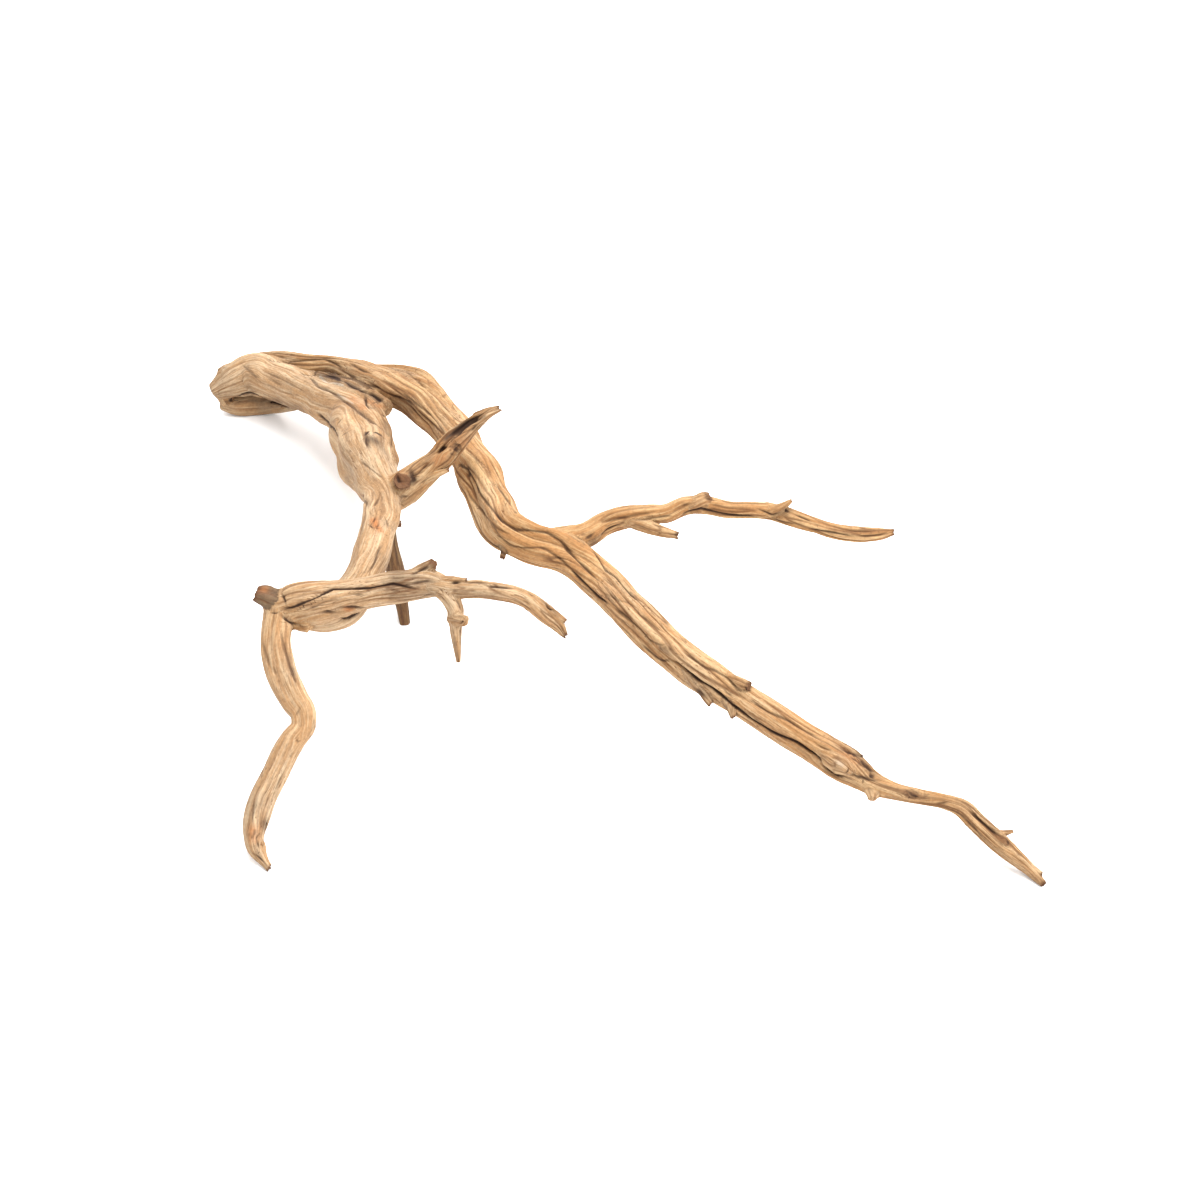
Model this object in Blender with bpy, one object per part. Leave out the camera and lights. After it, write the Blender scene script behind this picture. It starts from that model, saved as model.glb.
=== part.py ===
"""A piece of driftwood: one weathered, forked branch lying on a table, about half a metre across.

The thick butt lies at the back left on a short lower jaw. Two stems leave it. The trunk comes
forward to a cross limb with a leg, a broken stub and two twigs. The arching limb swings over to
the right, throws off a slender side branch, and comes down to a thin tip at the front right.
Each limb is a loft through rings of unlike width, fluted along the grain, and all of them are
fused into one body, because the branch grew as one piece of wood.

+X is the viewer's right, +Y is away from the viewer, +Z is up and the table is z = 0. The origin
is under the middle of the piece.
"""

import math

import bmesh
import bpy
import numpy as np
from mathutils import Vector

NAME = "driftwood"
MM = 0.001

# Surface of the wood, as shares of a limb's half width or in millimetres
FLUTE = 0.045
SWELL = 0.035
FLUTE_TURN = 160.0
SWELL_LENGTH = 46.0
DEPTH = 0.88
END_BULGE = 0.35
GROOVE_RUN_OUT = 0.2
PHASES = 7
RING_STEP = 10.0

# The middle of the branch's box on the table, taken off every route so that the origin is under it
PLAN_MIDDLE = Vector((1.3, 1.1, 0.0))

# The block that wears the lowest knobs flat where they touch the table
BLOCK_SIDE = 700.0
BLOCK_HEIGHT = 20.0

# The side of every limb that faces the viewer, who looks down on the table at 37 degrees
VIEW_DOWN = math.radians(37.0)
FACE = Vector((0.0, -math.cos(VIEW_DOWN), math.sin(VIEW_DOWN)))

WOOD_COLOUR = (0.74, 0.50, 0.29, 1.0)
WOOD_ROUGHNESS = 0.82

# Routes, as (x, y, z, half width) in millimetres from the root of a limb to its end

TRUNK = [
    (-252, 223, 19, 6), (-242, 227, 23, 11), (-227, 230, 28, 14), (-209, 215, 33, 13.5),
    (-190, 194, 39, 12.5), (-170, 169, 45, 12.6), (-154, 141, 52, 14.5), (-144, 106, 57, 18.5),
    (-137, 75, 64, 18), (-128, 42, 71, 14), (-122, 15, 76, 11.5), (-121, -10, 80, 10.5),
    (-122, -31, 83, 10.8), (-126, -70, 84, 10.6), (-131, -87, 82, 11), (-138, -99, 79, 12),
    (-149, -105, 76, 9.6), (-161, -106, 76, 7),
]

JAW = [
    (-248, 224, 7.5, 4), (-239, 225, 6.5, 6.5), (-227, 227, 6, 7.2), (-211, 224, 8, 6),
    (-194, 212, 17, 4.8), (-178, 189, 31, 5), (-166, 166, 40, 5),
]

ARCHING_LIMB = [
    (-227, 248, 28, 6.8), (-206, 238, 32, 8.8), (-186, 226, 38, 7.4), (-171, 219, 43, 6.2),
    (-156, 204, 48, 7.6), (-141, 186, 53, 9.8), (-126, 166, 58, 11), (-108, 141, 63.5, 10.6),
    (-88, 103, 69.5, 10.5), (-76, 75, 72.5, 11.6), (-63, 35, 75.5, 13.6), (-54, 2, 77.5, 13.2),
    (-45, -20, 78, 13), (-31, -33, 77.5, 11.8), (-10, -40, 74, 11.8), (10, -62, 70, 11),
    (28, -86, 65.5, 11.2), (56, -117, 57, 10.9), (91, -143.5, 47, 10), (125, -168, 36.5, 9.6),
    (141, -179, 33, 10), (153, -187, 30, 9.4), (163, -195, 27.5, 7), (176, -200, 25.5, 4.9),
    (192, -204, 24.5, 4.2), (205, -207, 23.5, 4.4), (213, -210, 22, 5.1), (221, -218, 18, 5.2),
    (239, -234, 9, 5.2), (248, -241, 4.5, 3.8), (256, -251, 1.4, 1.8),
]

WEB = [
    (-192, 215, 38, 5), (-163, 182, 50, 7), (-150, 163, 55.5, 7.5), (-138, 140, 60, 7.5),
    (-131, 116, 62.5, 6.8), (-126, 90, 65, 6.4), (-120, 58, 70, 6),
]

BACK_FLANGE = [
    (-145, 205, 49, 3), (-123, 194, 52, 5.6), (-109, 183, 55, 6.7), (-97, 159, 58, 6),
    (-86, 133, 61, 6), (-72, 102, 66, 5), (-63, 60, 71, 4),
]

SIDE_BRANCH = [
    (-30, -33, 76, 8), (-13, -29, 75, 8), (4, -26, 78, 7.4), (13, -21, 81.5, 7.2),
    (25, -20.5, 86, 6.9), (38, -20.5, 88, 6), (50, -20.5, 89, 5.6), (62, -17, 92.5, 5.8),
    (74, -17, 93, 5.6), (86, -19, 91, 5), (101, -15.5, 88, 4.8), (116, -13, 85, 5),
    (126, -15, 82, 4.9), (138, -17, 78.5, 4.6), (150, -19, 75.5, 4.6), (161, -19, 73.5, 4.7),
    (173, -19, 72.5, 4.2), (182, -18, 72.5, 3.4), (188, -17, 73, 2),
]

CROSS_LIMB = [
    (-177, -103, 82, 7), (-168, -104, 84, 10.5), (-155, -106, 87, 12), (-138, -105.5, 90, 10.8),
    (-121, -103, 93, 9.2), (-104, -101.5, 95, 9.2), (-87, -100, 96.5, 8.4), (-77, -103, 97, 5.4),
]

FRONT_LEG = [
    (-176, -97, 83, 7.5), (-174, -106, 80, 8.4), (-174, -126, 72, 8.8), (-168, -147, 63, 8.4),
    (-161.5, -160, 58, 8.2), (-157, -167, 54, 7.4), (-157, -172, 50, 6.8), (-162.5, -179, 45, 7),
    (-173.5, -197, 31, 7.6), (-178, -206, 24, 7.6), (-180, -215, 17, 7.4), (-180, -222, 12, 6.5),
    (-178.5, -229, 7, 5), (-176, -234, 3.4, 3), (-173, -239, 1, 1.5),
]

REAR_LEG = [
    (-124, 24, 76, 6), (-120.5, 15, 68, 5), (-118.5, 6, 54, 4.9), (-114.5, -2, 33, 5.4),
    (-111.5, -7, 10, 4), (-110, -12, -1, 3.4),
]

BROKEN_STUB = [
    (-126, 12, 72, 8), (-117, 18, 74.5, 9.5), (-108, 22.5, 79.5, 10.6), (-100, 25, 85, 9.8),
    (-91.5, 27, 92, 7.8), (-82, 31, 101.5, 7.6), (-75, 34, 108.5, 6.8), (-66, 38, 115.5, 5.4),
    (-58, 41, 120, 3.6), (-50, 43, 122.5, 2),
]

DROPPING_TWIG = [
    (-90, -98, 96, 5.4), (-82, -104, 96, 5), (-75.5, -110, 94, 4.9), (-71.5, -116, 88, 4.7),
    (-71.5, -121, 82, 3.9), (-71, -126, 75, 2.9), (-70, -132, 64, 1.3),
]

LONG_TWIG = [
    (-92, -101, 96, 5), (-69, -108.5, 98, 4.8), (-57, -109.5, 99, 5.2), (-46, -110.5, 98, 5.2),
    (-35, -112, 96, 5), (-28, -114, 93, 5), (-20.5, -118, 89, 5.2), (-14, -121, 84, 4.6),
    (-9, -126, 78, 1.8),
]

SNAPPED_STUB = [(-166, -105, 84, 6.5), (-177, -103.5, 86, 5.8), (-187.5, -99, 88, 5.2)]

# Short remains of twigs, knots and splinters, in the order that the eye meets them along the wood
KNOTS = {
    "upright_peg": [(-105, -99, 94, 4.4), (-92, -96, 102, 3.9), (-83, -96, 108.5, 3.6)],
    "crotch_knot": [(-112, 21, 82, 5.4), (-110, 19, 92, 4.8)],
    "stub_sliver": [(-99, 21, 85, 4.5), (-88, 20, 90, 2.4), (-81, 20, 93, 1.2)],
    "seam_lump": [(-141, 157, 57, 6), (-128, 138, 60.5, 5.6)],
    "rear_peg": [(-118, 10, 61, 3.5), (-111, 8, 61, 2)],
    "twig_shard": [(-86, -100, 98, 3), (-73, -105, 103, 1.7), (-65, -107, 104, 0.9)],
    "twig_peg": [(-73, -118, 86, 3.4), (-67, -124, 90, 2.4), (-62, -128, 91, 1.8)],
    "twig_prong": [(-27, -114, 93, 3.6), (-16, -119, 90, 2.7), (-8.5, -122.5, 86, 1.4)],
    "elbow_spike": [(-44, -28, 76, 4.5), (-47, -36.5, 71, 3.4), (-48, -42, 68.5, 1.6)],
    "lying_stub": [(79, -132, 53, 3.4), (88, -140, 57, 3.6), (96, -146, 57.5, 3)],
    "hook": [(60, -127, 53, 4), (69, -141, 46, 2.5), (75.5, -147.5, 43.5, 1.3)],
    "peg": [(85, -146, 47, 4), (87, -158, 41.5, 1.8)],
    "burl": [(132, -176, 36, 3), (141, -187, 37, 5), (147, -192, 37, 5), (152, -195, 35, 2.5)],
    "shard_above": [(140, -170, 37, 3), (152, -178, 37, 2.6), (159, -183, 36, 1.2)],
    "shard_below": [(151, -182, 34, 3.6), (161, -187, 33, 2.4), (166, -191, 31, 1)],
    "heel": [(164, -193, 28, 5), (164, -204.5, 23.5, 2.8)],
    "tip_spur": [(229, -226, 14, 3), (236, -224, 15, 1.8), (241, -223, 15.5, 0.9)],
    "side_knob": [(70, -17, 93, 5.4), (78, -13.5, 98, 4.4)],
    "side_spur": [(29, -22, 86, 5), (45, -30, 84, 3.8), (57, -33, 82, 2.4)],
    "side_thorn": [(112, -15, 86, 3.8), (120, -15, 90, 2.7), (126, -13, 93.5, 1)],
}


def read_route(route, step):
    """Rings at even steps on a smooth curve through the route's points, as rows x, y, z, width."""
    points = np.array(route, float)
    chords = np.linalg.norm(np.diff(points[:, :3], axis=0), axis=1)
    slopes = np.diff(points, axis=0) / chords[:, None]
    tangents = np.vstack([slopes[:1], slopes, slopes[-1:]])
    before, after = tangents[:-1], tangents[1:]
    weight = np.concatenate([chords[:1], chords])[:, None]
    other = np.concatenate([chords, chords[-1:]])[:, None]
    tangents = (before * other + after * weight) / (weight + other)
    rings = []
    for i, chord in enumerate(chords):
        count = max(1, round(chord / step))
        for t in np.arange(count) / count:
            rise = t * t * (3 - 2 * t)
            start_pull = t * (1 - t) ** 2 * chord
            end_pull = t * t * (1 - t) * chord
            rings.append(points[i] * (1 - rise) + points[i + 1] * rise
                         + tangents[i] * start_pull - tangents[i + 1] * end_pull)
    rings.append(points[-1])
    return np.array(rings)


def groove(angle, share, grooves):
    """How far a groove takes the surface in, at an angle round a limb and a share of its length.

    Each groove is (angle in degrees, half breadth in degrees, depth, start share, end share).
    """
    taken = 0.0
    for middle, breadth, depth, start, end in grooves:
        turn = (math.degrees(angle) - middle + 180) % 360 - 180
        across = max(0.0, 1 - abs(turn) / breadth)
        ends = min(share - start, end - share) / (GROOVE_RUN_OUT * (end - start))
        taken += depth * across * min(1.0, max(0.0, ends))
    return taken


def limb(name, route, sides=10, step=RING_STEP, depth=DEPTH, splinter=0.0, grooves=()):
    """A closed loft along a route. Its half width r at angle a and distance s from the root is

    r = width * (1 + FLUTE * (cos(3a + turn) + cos(5a - turn)) + SWELL * sin(swell) - groove)

    where a = 0 is the side that faces the viewer, and turn and swell grow with s. The last ring is
    pulled out into splinters.
    """
    rings = read_route(route, step)
    directions = np.gradient(rings[:, :3], axis=0)
    travelled = np.concatenate([[0], np.cumsum(np.linalg.norm(np.diff(rings[:, :3], axis=0), axis=1))])
    phase = sum(map(ord, name)) % PHASES

    body = bmesh.new()
    loops = []
    for ring, direction, distance in zip(rings, directions, travelled):
        centre, width = Vector(ring[:3]), ring[3]
        along = Vector(direction).normalized()
        toward = (FACE - along * FACE.dot(along)).normalized()
        across = along.cross(toward)
        last = distance == travelled[-1]
        swell = SWELL * math.sin(distance / SWELL_LENGTH * math.tau + phase)
        turn = distance / FLUTE_TURN * math.tau
        loop = []
        for k in range(sides):
            a = math.tau * k / sides
            flute = FLUTE * (math.cos(3 * a + turn + phase) + math.cos(5 * a - turn))
            radius = width * (1 + flute + swell - groove(a, distance / travelled[-1], grooves))
            point = centre + toward * (radius * depth * math.cos(a)) + across * (radius * math.sin(a))
            if last:
                point += along * splinter * math.cos(2 * a + phase) * math.cos(3 * a)
            loop.append(body.verts.new((point - PLAN_MIDDLE) * MM))
        loops.append(loop)

    for here, there in zip(loops, loops[1:]):
        for k in range(sides):
            n = (k + 1) % sides
            body.faces.new((here[k], here[n], there[n], there[k]))
    close_end(body, loops[0], -END_BULGE * rings[0, 3], directions[0])
    close_end(body, loops[-1], END_BULGE * rings[-1, 3] - splinter, directions[-1])
    bmesh.ops.recalc_face_normals(body, faces=body.faces)
    bmesh.ops.triangulate(body, faces=body.faces)

    mesh = bpy.data.meshes.new(name)
    body.to_mesh(mesh)
    body.free()
    return bpy.data.objects.new(name, mesh)


def close_end(body, loop, bulge, direction):
    """A fan of triangles over the last ring, with its middle pushed out or in by bulge."""
    middle = sum((v.co for v in loop), Vector()) / len(loop)
    apex = body.verts.new(middle + Vector(direction).normalized() * (bulge * MM))
    for k in range(len(loop)):
        body.faces.new((loop[k], loop[(k + 1) % len(loop)], apex))


def make_limbs():
    """Every limb, twig, rib and knot as its own closed solid, with its root sunk in its parent."""
    limbs = [
        limb("trunk", TRUNK, sides=18, step=11,
             grooves=[(-50, 40, 0.16, 0.02, 0.25), (60, 40, 0.14, 0.3, 0.62), (10, 36, 0.12, 0.66, 0.9)]),
        limb("jaw", JAW),
        limb("arching_limb", ARCHING_LIMB, sides=18, step=11,
             grooves=[(40, 36, 0.18, 0.2, 0.5), (-20, 36, 0.16, 0.42, 0.66), (30, 36, 0.2, 0.6, 0.84)]),
        limb("web", WEB, sides=8, step=14, depth=0.7),
        limb("back_flange", BACK_FLANGE, step=12, depth=0.6),
        limb("side_branch", SIDE_BRANCH, splinter=1.5),
        limb("cross_limb", CROSS_LIMB, sides=14, grooves=[(25, 40, 0.16, 0.1, 0.8)]),
        limb("front_leg", FRONT_LEG, sides=12, grooves=[(20, 40, 0.14, 0.1, 0.55)]),
        limb("rear_leg", REAR_LEG, step=12),
        limb("broken_stub", BROKEN_STUB, sides=12, step=8, splinter=2.5, depth=1.0,
             grooves=[(-30, 40, 0.5, 0.5, 1.3)]),
        limb("dropping_twig", DROPPING_TWIG, sides=8, step=7),
        limb("long_twig", LONG_TWIG, splinter=1.5, grooves=[(20, 50, 0.5, 0.86, 1.3)]),
        limb("snapped_stub", SNAPPED_STUB, step=8, splinter=1.5),
    ]
    return limbs + [limb(name, route, sides=6, step=8, splinter=0.8) for name, route in KNOTS.items()]


def new_collection(name):
    collection = bpy.data.collections.new(name)
    bpy.context.scene.collection.children.link(collection)
    return collection


def fuse(name, pieces, home):
    """One Boolean union of the first piece with all the others, applied to a new object."""
    joined = new_collection("joined_limbs")
    body = pieces[0]
    home.objects.link(body)
    for piece in pieces[1:]:
        joined.objects.link(piece)
    union = body.modifiers.new("union", "BOOLEAN")
    union.operation = "UNION"
    union.solver = "EXACT"
    union.operand_type = "COLLECTION"
    union.collection = joined
    evaluated = body.evaluated_get(bpy.context.evaluated_depsgraph_get())
    fused = bpy.data.objects.new(name, bpy.data.meshes.new_from_object(evaluated))
    home.objects.link(fused)
    for piece in pieces:
        bpy.data.objects.remove(piece)
    bpy.data.collections.remove(joined)
    return fused


def cut_at_table(body, home):
    """The lowest knobs are worn flat where the wood lies: a hidden block takes off all below z = 0."""
    bpy.ops.mesh.primitive_cube_add(size=1, location=(0, 0, -BLOCK_HEIGHT * MM / 2))
    block = bpy.context.object
    block.name = "table_cutter"
    block.scale = (BLOCK_SIDE * MM, BLOCK_SIDE * MM, BLOCK_HEIGHT * MM)
    block.hide_render = True
    block.display_type = "WIRE"
    for collection in block.users_collection:
        collection.objects.unlink(block)
    home.objects.link(block)
    cut = body.modifiers.new("worn_flat", "BOOLEAN")
    cut.operation = "DIFFERENCE"
    cut.object = block


def wood():
    material = bpy.data.materials.new("weathered_wood")
    material.use_nodes = True
    shader = material.node_tree.nodes["Principled BSDF"]
    shader.inputs["Base Color"].default_value = WOOD_COLOUR
    shader.inputs["Roughness"].default_value = WOOD_ROUGHNESS
    shader.inputs["Metallic"].default_value = 0.0
    return material


def main():
    for old in list(bpy.data.objects):
        bpy.data.objects.remove(old)
    home = new_collection(NAME)
    driftwood = fuse(NAME, make_limbs(), home)
    driftwood.data.materials.clear()
    driftwood.data.materials.append(wood())
    driftwood.data.shade_smooth()
    cut_at_table(driftwood, new_collection("cutters"))


main()
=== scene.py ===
# %% [markdown]
# # A piece of driftwood
#
# This lesson dresses one weathered branch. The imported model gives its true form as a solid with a
# few thousand flat faces: the limbs, the knots, the broken stubs and where it lies on the table.
# Here the same limbs are grown again with a fine skin: ridges and furrows that follow the grain,
# drying cracks, knots and torn ends, and then a dry wood finish.

# %% Load the frame
import math

import bpy
import numpy as np
from mathutils.bvhtree import BVHTree
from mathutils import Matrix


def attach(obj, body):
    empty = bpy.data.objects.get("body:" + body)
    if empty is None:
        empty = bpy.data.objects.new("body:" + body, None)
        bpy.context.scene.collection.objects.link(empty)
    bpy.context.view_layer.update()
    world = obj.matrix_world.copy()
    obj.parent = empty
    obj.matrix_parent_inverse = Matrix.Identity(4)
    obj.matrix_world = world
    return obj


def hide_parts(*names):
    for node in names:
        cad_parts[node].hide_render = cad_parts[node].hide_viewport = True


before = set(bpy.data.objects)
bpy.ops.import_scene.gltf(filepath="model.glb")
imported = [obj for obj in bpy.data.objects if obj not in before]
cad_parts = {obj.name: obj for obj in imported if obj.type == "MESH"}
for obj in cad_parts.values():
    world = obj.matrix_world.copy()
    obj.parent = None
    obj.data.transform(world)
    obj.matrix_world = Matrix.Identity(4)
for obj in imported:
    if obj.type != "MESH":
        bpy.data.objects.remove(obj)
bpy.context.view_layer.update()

# %% [markdown]
# ## The camera and the table
#
# The branch was photographed from a little above, with a long lens that hardly bends the limbs.
# The camera looks down at 37 degrees from 1.7 m away, at a point just over the table.

# %% Camera
MM = 0.001
VIEW_DOWN = math.radians(37.0)
AIM = np.array([9.7, -49.1, 45.0])
CAMERA_DISTANCE = 1700.0
LENS = 85.0
SENSOR = 36.0

to_camera = np.array([0.0, -math.cos(VIEW_DOWN), math.sin(VIEW_DOWN)])
camera = bpy.data.objects.new("camera", bpy.data.cameras.new("camera"))
camera.data.lens = LENS
camera.data.sensor_width = SENSOR
camera.data.clip_end = 20.0
camera.location = (AIM + to_camera * CAMERA_DISTANCE) * MM
camera.rotation_euler = (math.pi / 2 - VIEW_DOWN, 0.0, 0.0)
bpy.context.scene.collection.objects.link(camera)
bpy.context.scene.camera = camera
print("camera at", tuple(round(c, 3) for c in camera.location))

# %% [markdown]
# ## Where the limbs run
#
# Each limb is a route of a few points chosen along its middle, with the half width of the
# wood there, in millimetres. The routes follow those of the solid, so the fine skin lies where the
# solid is. Short pegs are what is left of twigs and splinters, and some of them are wood that fills
# a fork: web_floor closes the gap behind the web, and flange_web joins the flange to its limb.

# %% Routes of the limbs, as (x, y, z, half width) in millimetres from root to end
# the routes are drawn about a point that lies this far from the middle of the solid's plan
PLAN_MIDDLE = np.array([1.3, 1.1, 0.0])

TRUNK = [
    (-252, 223, 19, 6), (-242, 227, 23, 11), (-227, 230, 28, 14), (-209, 215, 33, 13.5),
    (-190, 194, 39, 12.5), (-170, 169, 45, 12.6), (-154, 141, 52, 14.5), (-144, 106, 57, 18.5),
    (-137, 75, 64, 18), (-128, 42, 71, 14), (-122, 15, 76, 11.5), (-121, -10, 80, 10.5),
    (-122, -31, 83, 10.8), (-126, -70, 84, 10.6), (-131, -87, 82, 11), (-138, -99, 79, 12),
    (-149, -105, 76, 9.6), (-161, -106, 76, 7),
]

JAW = [
    (-248, 224, 7.5, 4), (-239, 225, 6.5, 6.5), (-227, 227, 6, 7.2), (-211, 224, 8, 6),
    (-194, 212, 17, 4.8), (-178, 189, 31, 5), (-166, 166, 40, 5),
]

ARCHING_LIMB = [
    (-230, 246, 27, 6.2), (-206, 238, 32, 8.8), (-186, 226, 38, 7.4), (-171, 219, 43, 6.2),
    (-156, 204, 48, 7.6), (-141, 186, 53, 9.8), (-126, 166, 58, 11), (-108, 141, 63.5, 10.6),
    (-88, 103, 69.5, 10.5), (-76, 75, 72.5, 11.6), (-63, 35, 75.5, 13.6), (-54, 2, 77.5, 13.2),
    (-45, -20, 78, 13), (-31, -33, 77.5, 11.8), (-10, -40, 74, 11.8), (10, -62, 70, 11),
    (28, -86, 65.5, 11.2), (56, -117, 57, 10.9), (91, -143.5, 47, 10), (125, -168, 36.5, 9.6),
    (141, -179, 33, 10), (153, -187, 30, 9.4), (163, -195, 27.5, 7), (176, -200, 25.5, 4.9),
    (192, -204, 24.5, 4.2), (205, -207, 23.5, 4.4), (213, -210, 22, 5.1), (221, -218, 18, 5.2),
    (239, -234, 9, 5.2), (248, -241, 4.5, 3.8), (256, -251, 1.4, 1.8),
]

WEB = [
    (-192, 214, 37, 5), (-163.7, 181, 48.8, 7.3), (-151, 161.5, 54.2, 7.8), (-138.7, 138.5, 58.9, 7.6),
    (-131.2, 115.5, 62, 6.8), (-126, 90, 65, 6.4), (-120, 58, 70, 6),
]

BACK_FLANGE = [
    (-145, 205, 49, 3), (-123, 194, 52, 5.6), (-109, 183, 55, 6.7), (-97, 159, 58, 6),
    (-86, 133, 61, 6), (-72, 102, 66, 5), (-63, 60, 71, 4),
]

SIDE_BRANCH = [
    (-30, -33, 76, 8), (-13, -29, 75, 8), (4, -26, 78, 7.4), (13, -21, 81.5, 7.2),
    (25, -20.5, 86, 6.9), (38, -20.5, 88, 6), (50, -20.5, 89, 5.6), (62, -17, 92.5, 5.8),
    (74, -17, 93, 5.6), (86, -19, 91, 5), (101, -15.5, 88, 4.8), (116, -13, 85, 5),
    (126, -15, 82, 4.9), (138, -17, 78.5, 4.6), (150, -19, 75.5, 4.6), (161, -19, 73.5, 4.7),
    (173, -19, 72.5, 4.2), (182, -18, 72.5, 3.4), (188, -17, 73, 2),
]

CROSS_LIMB = [
    (-177, -103, 82, 7), (-168, -104, 84, 10.5), (-155, -106, 87, 12), (-138, -105.5, 90, 10.8),
    (-121, -103, 93, 9.2), (-104, -101.5, 95, 9.2), (-87, -100, 96.5, 8.4), (-77, -103, 97, 5.4),
]

FRONT_LEG = [
    (-176, -97, 83, 7.5), (-174, -106, 80, 8.4), (-174, -126, 72, 8.8), (-168, -147, 63, 8.4),
    (-161.5, -160, 58, 8.2), (-157, -167, 54, 7.4), (-157, -172, 50, 6.8), (-162.5, -179, 45, 7),
    (-173.5, -197, 31, 7.6), (-178.5, -206, 24, 7.4), (-181.2, -215, 17, 7), (-182, -222, 12, 5.9),
    (-180.8, -229, 7, 4.4), (-177, -233.6, 3.6, 2.5), (-172.8, -238.4, 1, 1.5),
]

REAR_LEG = [
    (-124, 24, 76, 6), (-120.5, 15, 68, 5), (-118.5, 6, 54, 4.9), (-114.5, -2, 33, 5.4),
    (-111.5, -7, 10, 4), (-110, -12, -1, 3.4),
]

BROKEN_STUB = [
    (-126, 12, 72, 8), (-117, 18, 74.5, 9.5), (-108, 22.5, 79.5, 10.6), (-100, 25, 85, 9.8),
    (-91.5, 27, 92, 7.8), (-82, 31, 101.5, 7.6), (-75, 34, 108.5, 6.8), (-66, 38, 115.5, 5.4),
    (-58, 41, 120, 3.6), (-50, 43, 122.5, 2),
]

DROPPING_TWIG = [
    (-90, -98, 96, 5.4), (-82, -104, 96, 5), (-75.5, -110, 94, 4.9), (-71.5, -116, 88, 4.7),
    (-71.5, -121, 82, 3.9), (-71, -126, 75, 2.9), (-70, -132, 64, 1.3),
]

LONG_TWIG = [
    (-92, -101, 96, 5), (-69, -108.5, 98, 4.8), (-57, -109.5, 99, 5.2), (-46, -110.5, 98, 5.2),
    (-35, -112, 96, 5), (-28, -114, 93, 5), (-20.5, -118, 89, 5.2), (-14, -121, 84, 4.6),
    (-9, -126, 78, 1.8),
]

SNAPPED_STUB = [
    (-166, -105, 84, 6.2), (-173, -104, 85.5, 5.3), (-179.5, -102.5, 87, 5.7), (-184, -101, 88, 5.2),
    (-187, -100, 88.2, 4.2),
]

# %% Short remains of twigs, knots and splinters
PEGS = {
    "upright_peg": [(-105, -99, 94, 4.4), (-92, -96, 102, 3.9), (-84, -96.4, 108, 3.4)],
    "peg_block": [(-93, -97, 95, 3.2), (-85, -96.5, 101, 3.4)],
    "crotch_knot": [(-111, 20, 80, 5.8), (-109, 13, 90, 5.6)],
    "stub_sliver": [(-99, 21, 85, 4.5), (-88, 20, 90, 2.4), (-81, 20, 93, 1.2)],
    "seam_lump": [(-141, 157, 57, 6), (-128, 138, 60.5, 5.6)],
    # web_floor is wood under the hole, stained dark all over: painted shade at the bottom of the hole
    "web_floor": [(-183, 212, 35, 5), (-163, 193.5, 43, 7.2), (-151, 179, 48, 7.6), (-140, 161, 52, 7.6),
                  (-132, 141, 56, 6)],
    "flange_web": [(-139, 198, 50, 4), (-119, 180, 55.5, 6.4), (-105, 163, 59.5, 7.4), (-91, 137, 63.5, 7.2),
                   (-80, 108, 67.5, 6.6), (-70, 80, 71, 5)],
    "rear_peg": [(-118, 10, 61, 3.5), (-111, 8, 61, 2)],
    "twig_shard": [(-86, -100, 98, 3), (-73, -105, 103, 1.7), (-65, -107, 104, 0.9)],
    "twig_peg": [(-74, -117, 84, 4.2), (-70, -121.5, 86.5, 3.8), (-66, -126, 89, 3.1)],
    "twig_prong": [(-27, -114, 93, 3.6), (-16, -119, 90, 2.7), (-8.5, -122.5, 86, 1.4)],
    "elbow_spike": [(-44, -28, 76, 4.2), (-46.5, -35, 72, 2.6), (-47.3, -39.5, 70, 1.7)],
    "lying_stub": [(79, -132, 53, 3.4), (88, -140, 57, 3.6), (96, -146, 57.5, 3)],
    "hook": [(60, -127, 53, 4), (67, -138.5, 49.5, 2.4), (74.5, -146, 44, 1.7)],
    "peg": [(85, -146, 47, 4), (86.9, -155.5, 42, 1.4)],
    "burl": [(132, -176, 36, 3), (141, -187, 37, 5), (147, -192, 37, 5), (152, -195, 35, 2.5)],
    "shard_above": [(140, -170, 37, 3), (152, -178, 37, 2.6), (159, -183, 36, 1.2)],
    "shard_below": [(151, -182, 34, 3.6), (161, -187, 33, 2.4), (166, -191, 31, 1)],
    "heel": [(164, -193, 28, 5), (164, -204.5, 23.5, 2.8)],
    "tip_spur": [(229, -226, 14, 3), (236, -224, 15, 1.8), (241, -223, 15.5, 0.9)],
    "tip_fork": [(247, -240, 5, 3), (252, -243, 5, 2.2), (255.4, -246.5, 5, 1.0)],
    "side_knob": [(66, -18, 92, 5.6), (72, -16.5, 94.3, 6), (77.5, -15.5, 95.8, 4.6)],
    "side_spur": [(29, -22, 86, 5), (45, -30, 84, 3.8), (57, -33, 82, 2.4)],
    "side_thorn": [(112, -15, 86, 3.8), (120, -15, 90, 2.7), (126, -13, 93.5, 1)],
    "leg_shoulder": [(-181, -222, 11, 4.2), (-181.3, -227, 7.5, 3.2), (-181, -229.5, 5, 2.2)],
    "leg_splinter": [(-178.5, -226, 9, 3.4), (-176, -232, 4.5, 1.8), (-172.2, -236.5, 1.6, 0.9)],
    "head_round": [(-247.8, 230, 25.8, 6.8), (-240, 231, 27, 9)],
    "belly_join": [(-170.2, -105.4, 76, 4.5), (-163.9, -111.0, 77, 4.5), (-156.7, -113.7, 78, 5)],
    "lip_join": [(-247.6, 224, 16.8, 5.1), (-243.6, 221.6, 10.6, 4.8)],
}
print("limbs and pegs:", 13 + len(PEGS))

# %% [markdown]
# ## From a route to rings
#
# A limb has no corners, so a smooth curve is drawn through the route's points and cut at even
# steps. At every step the ring needs a direction along the limb, one towards the viewer and one
# across. Angles round the limb are counted from the side that faces the viewer, so a crack seen in
# the photograph can be placed by how far along it is and at what angle it lies.

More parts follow.
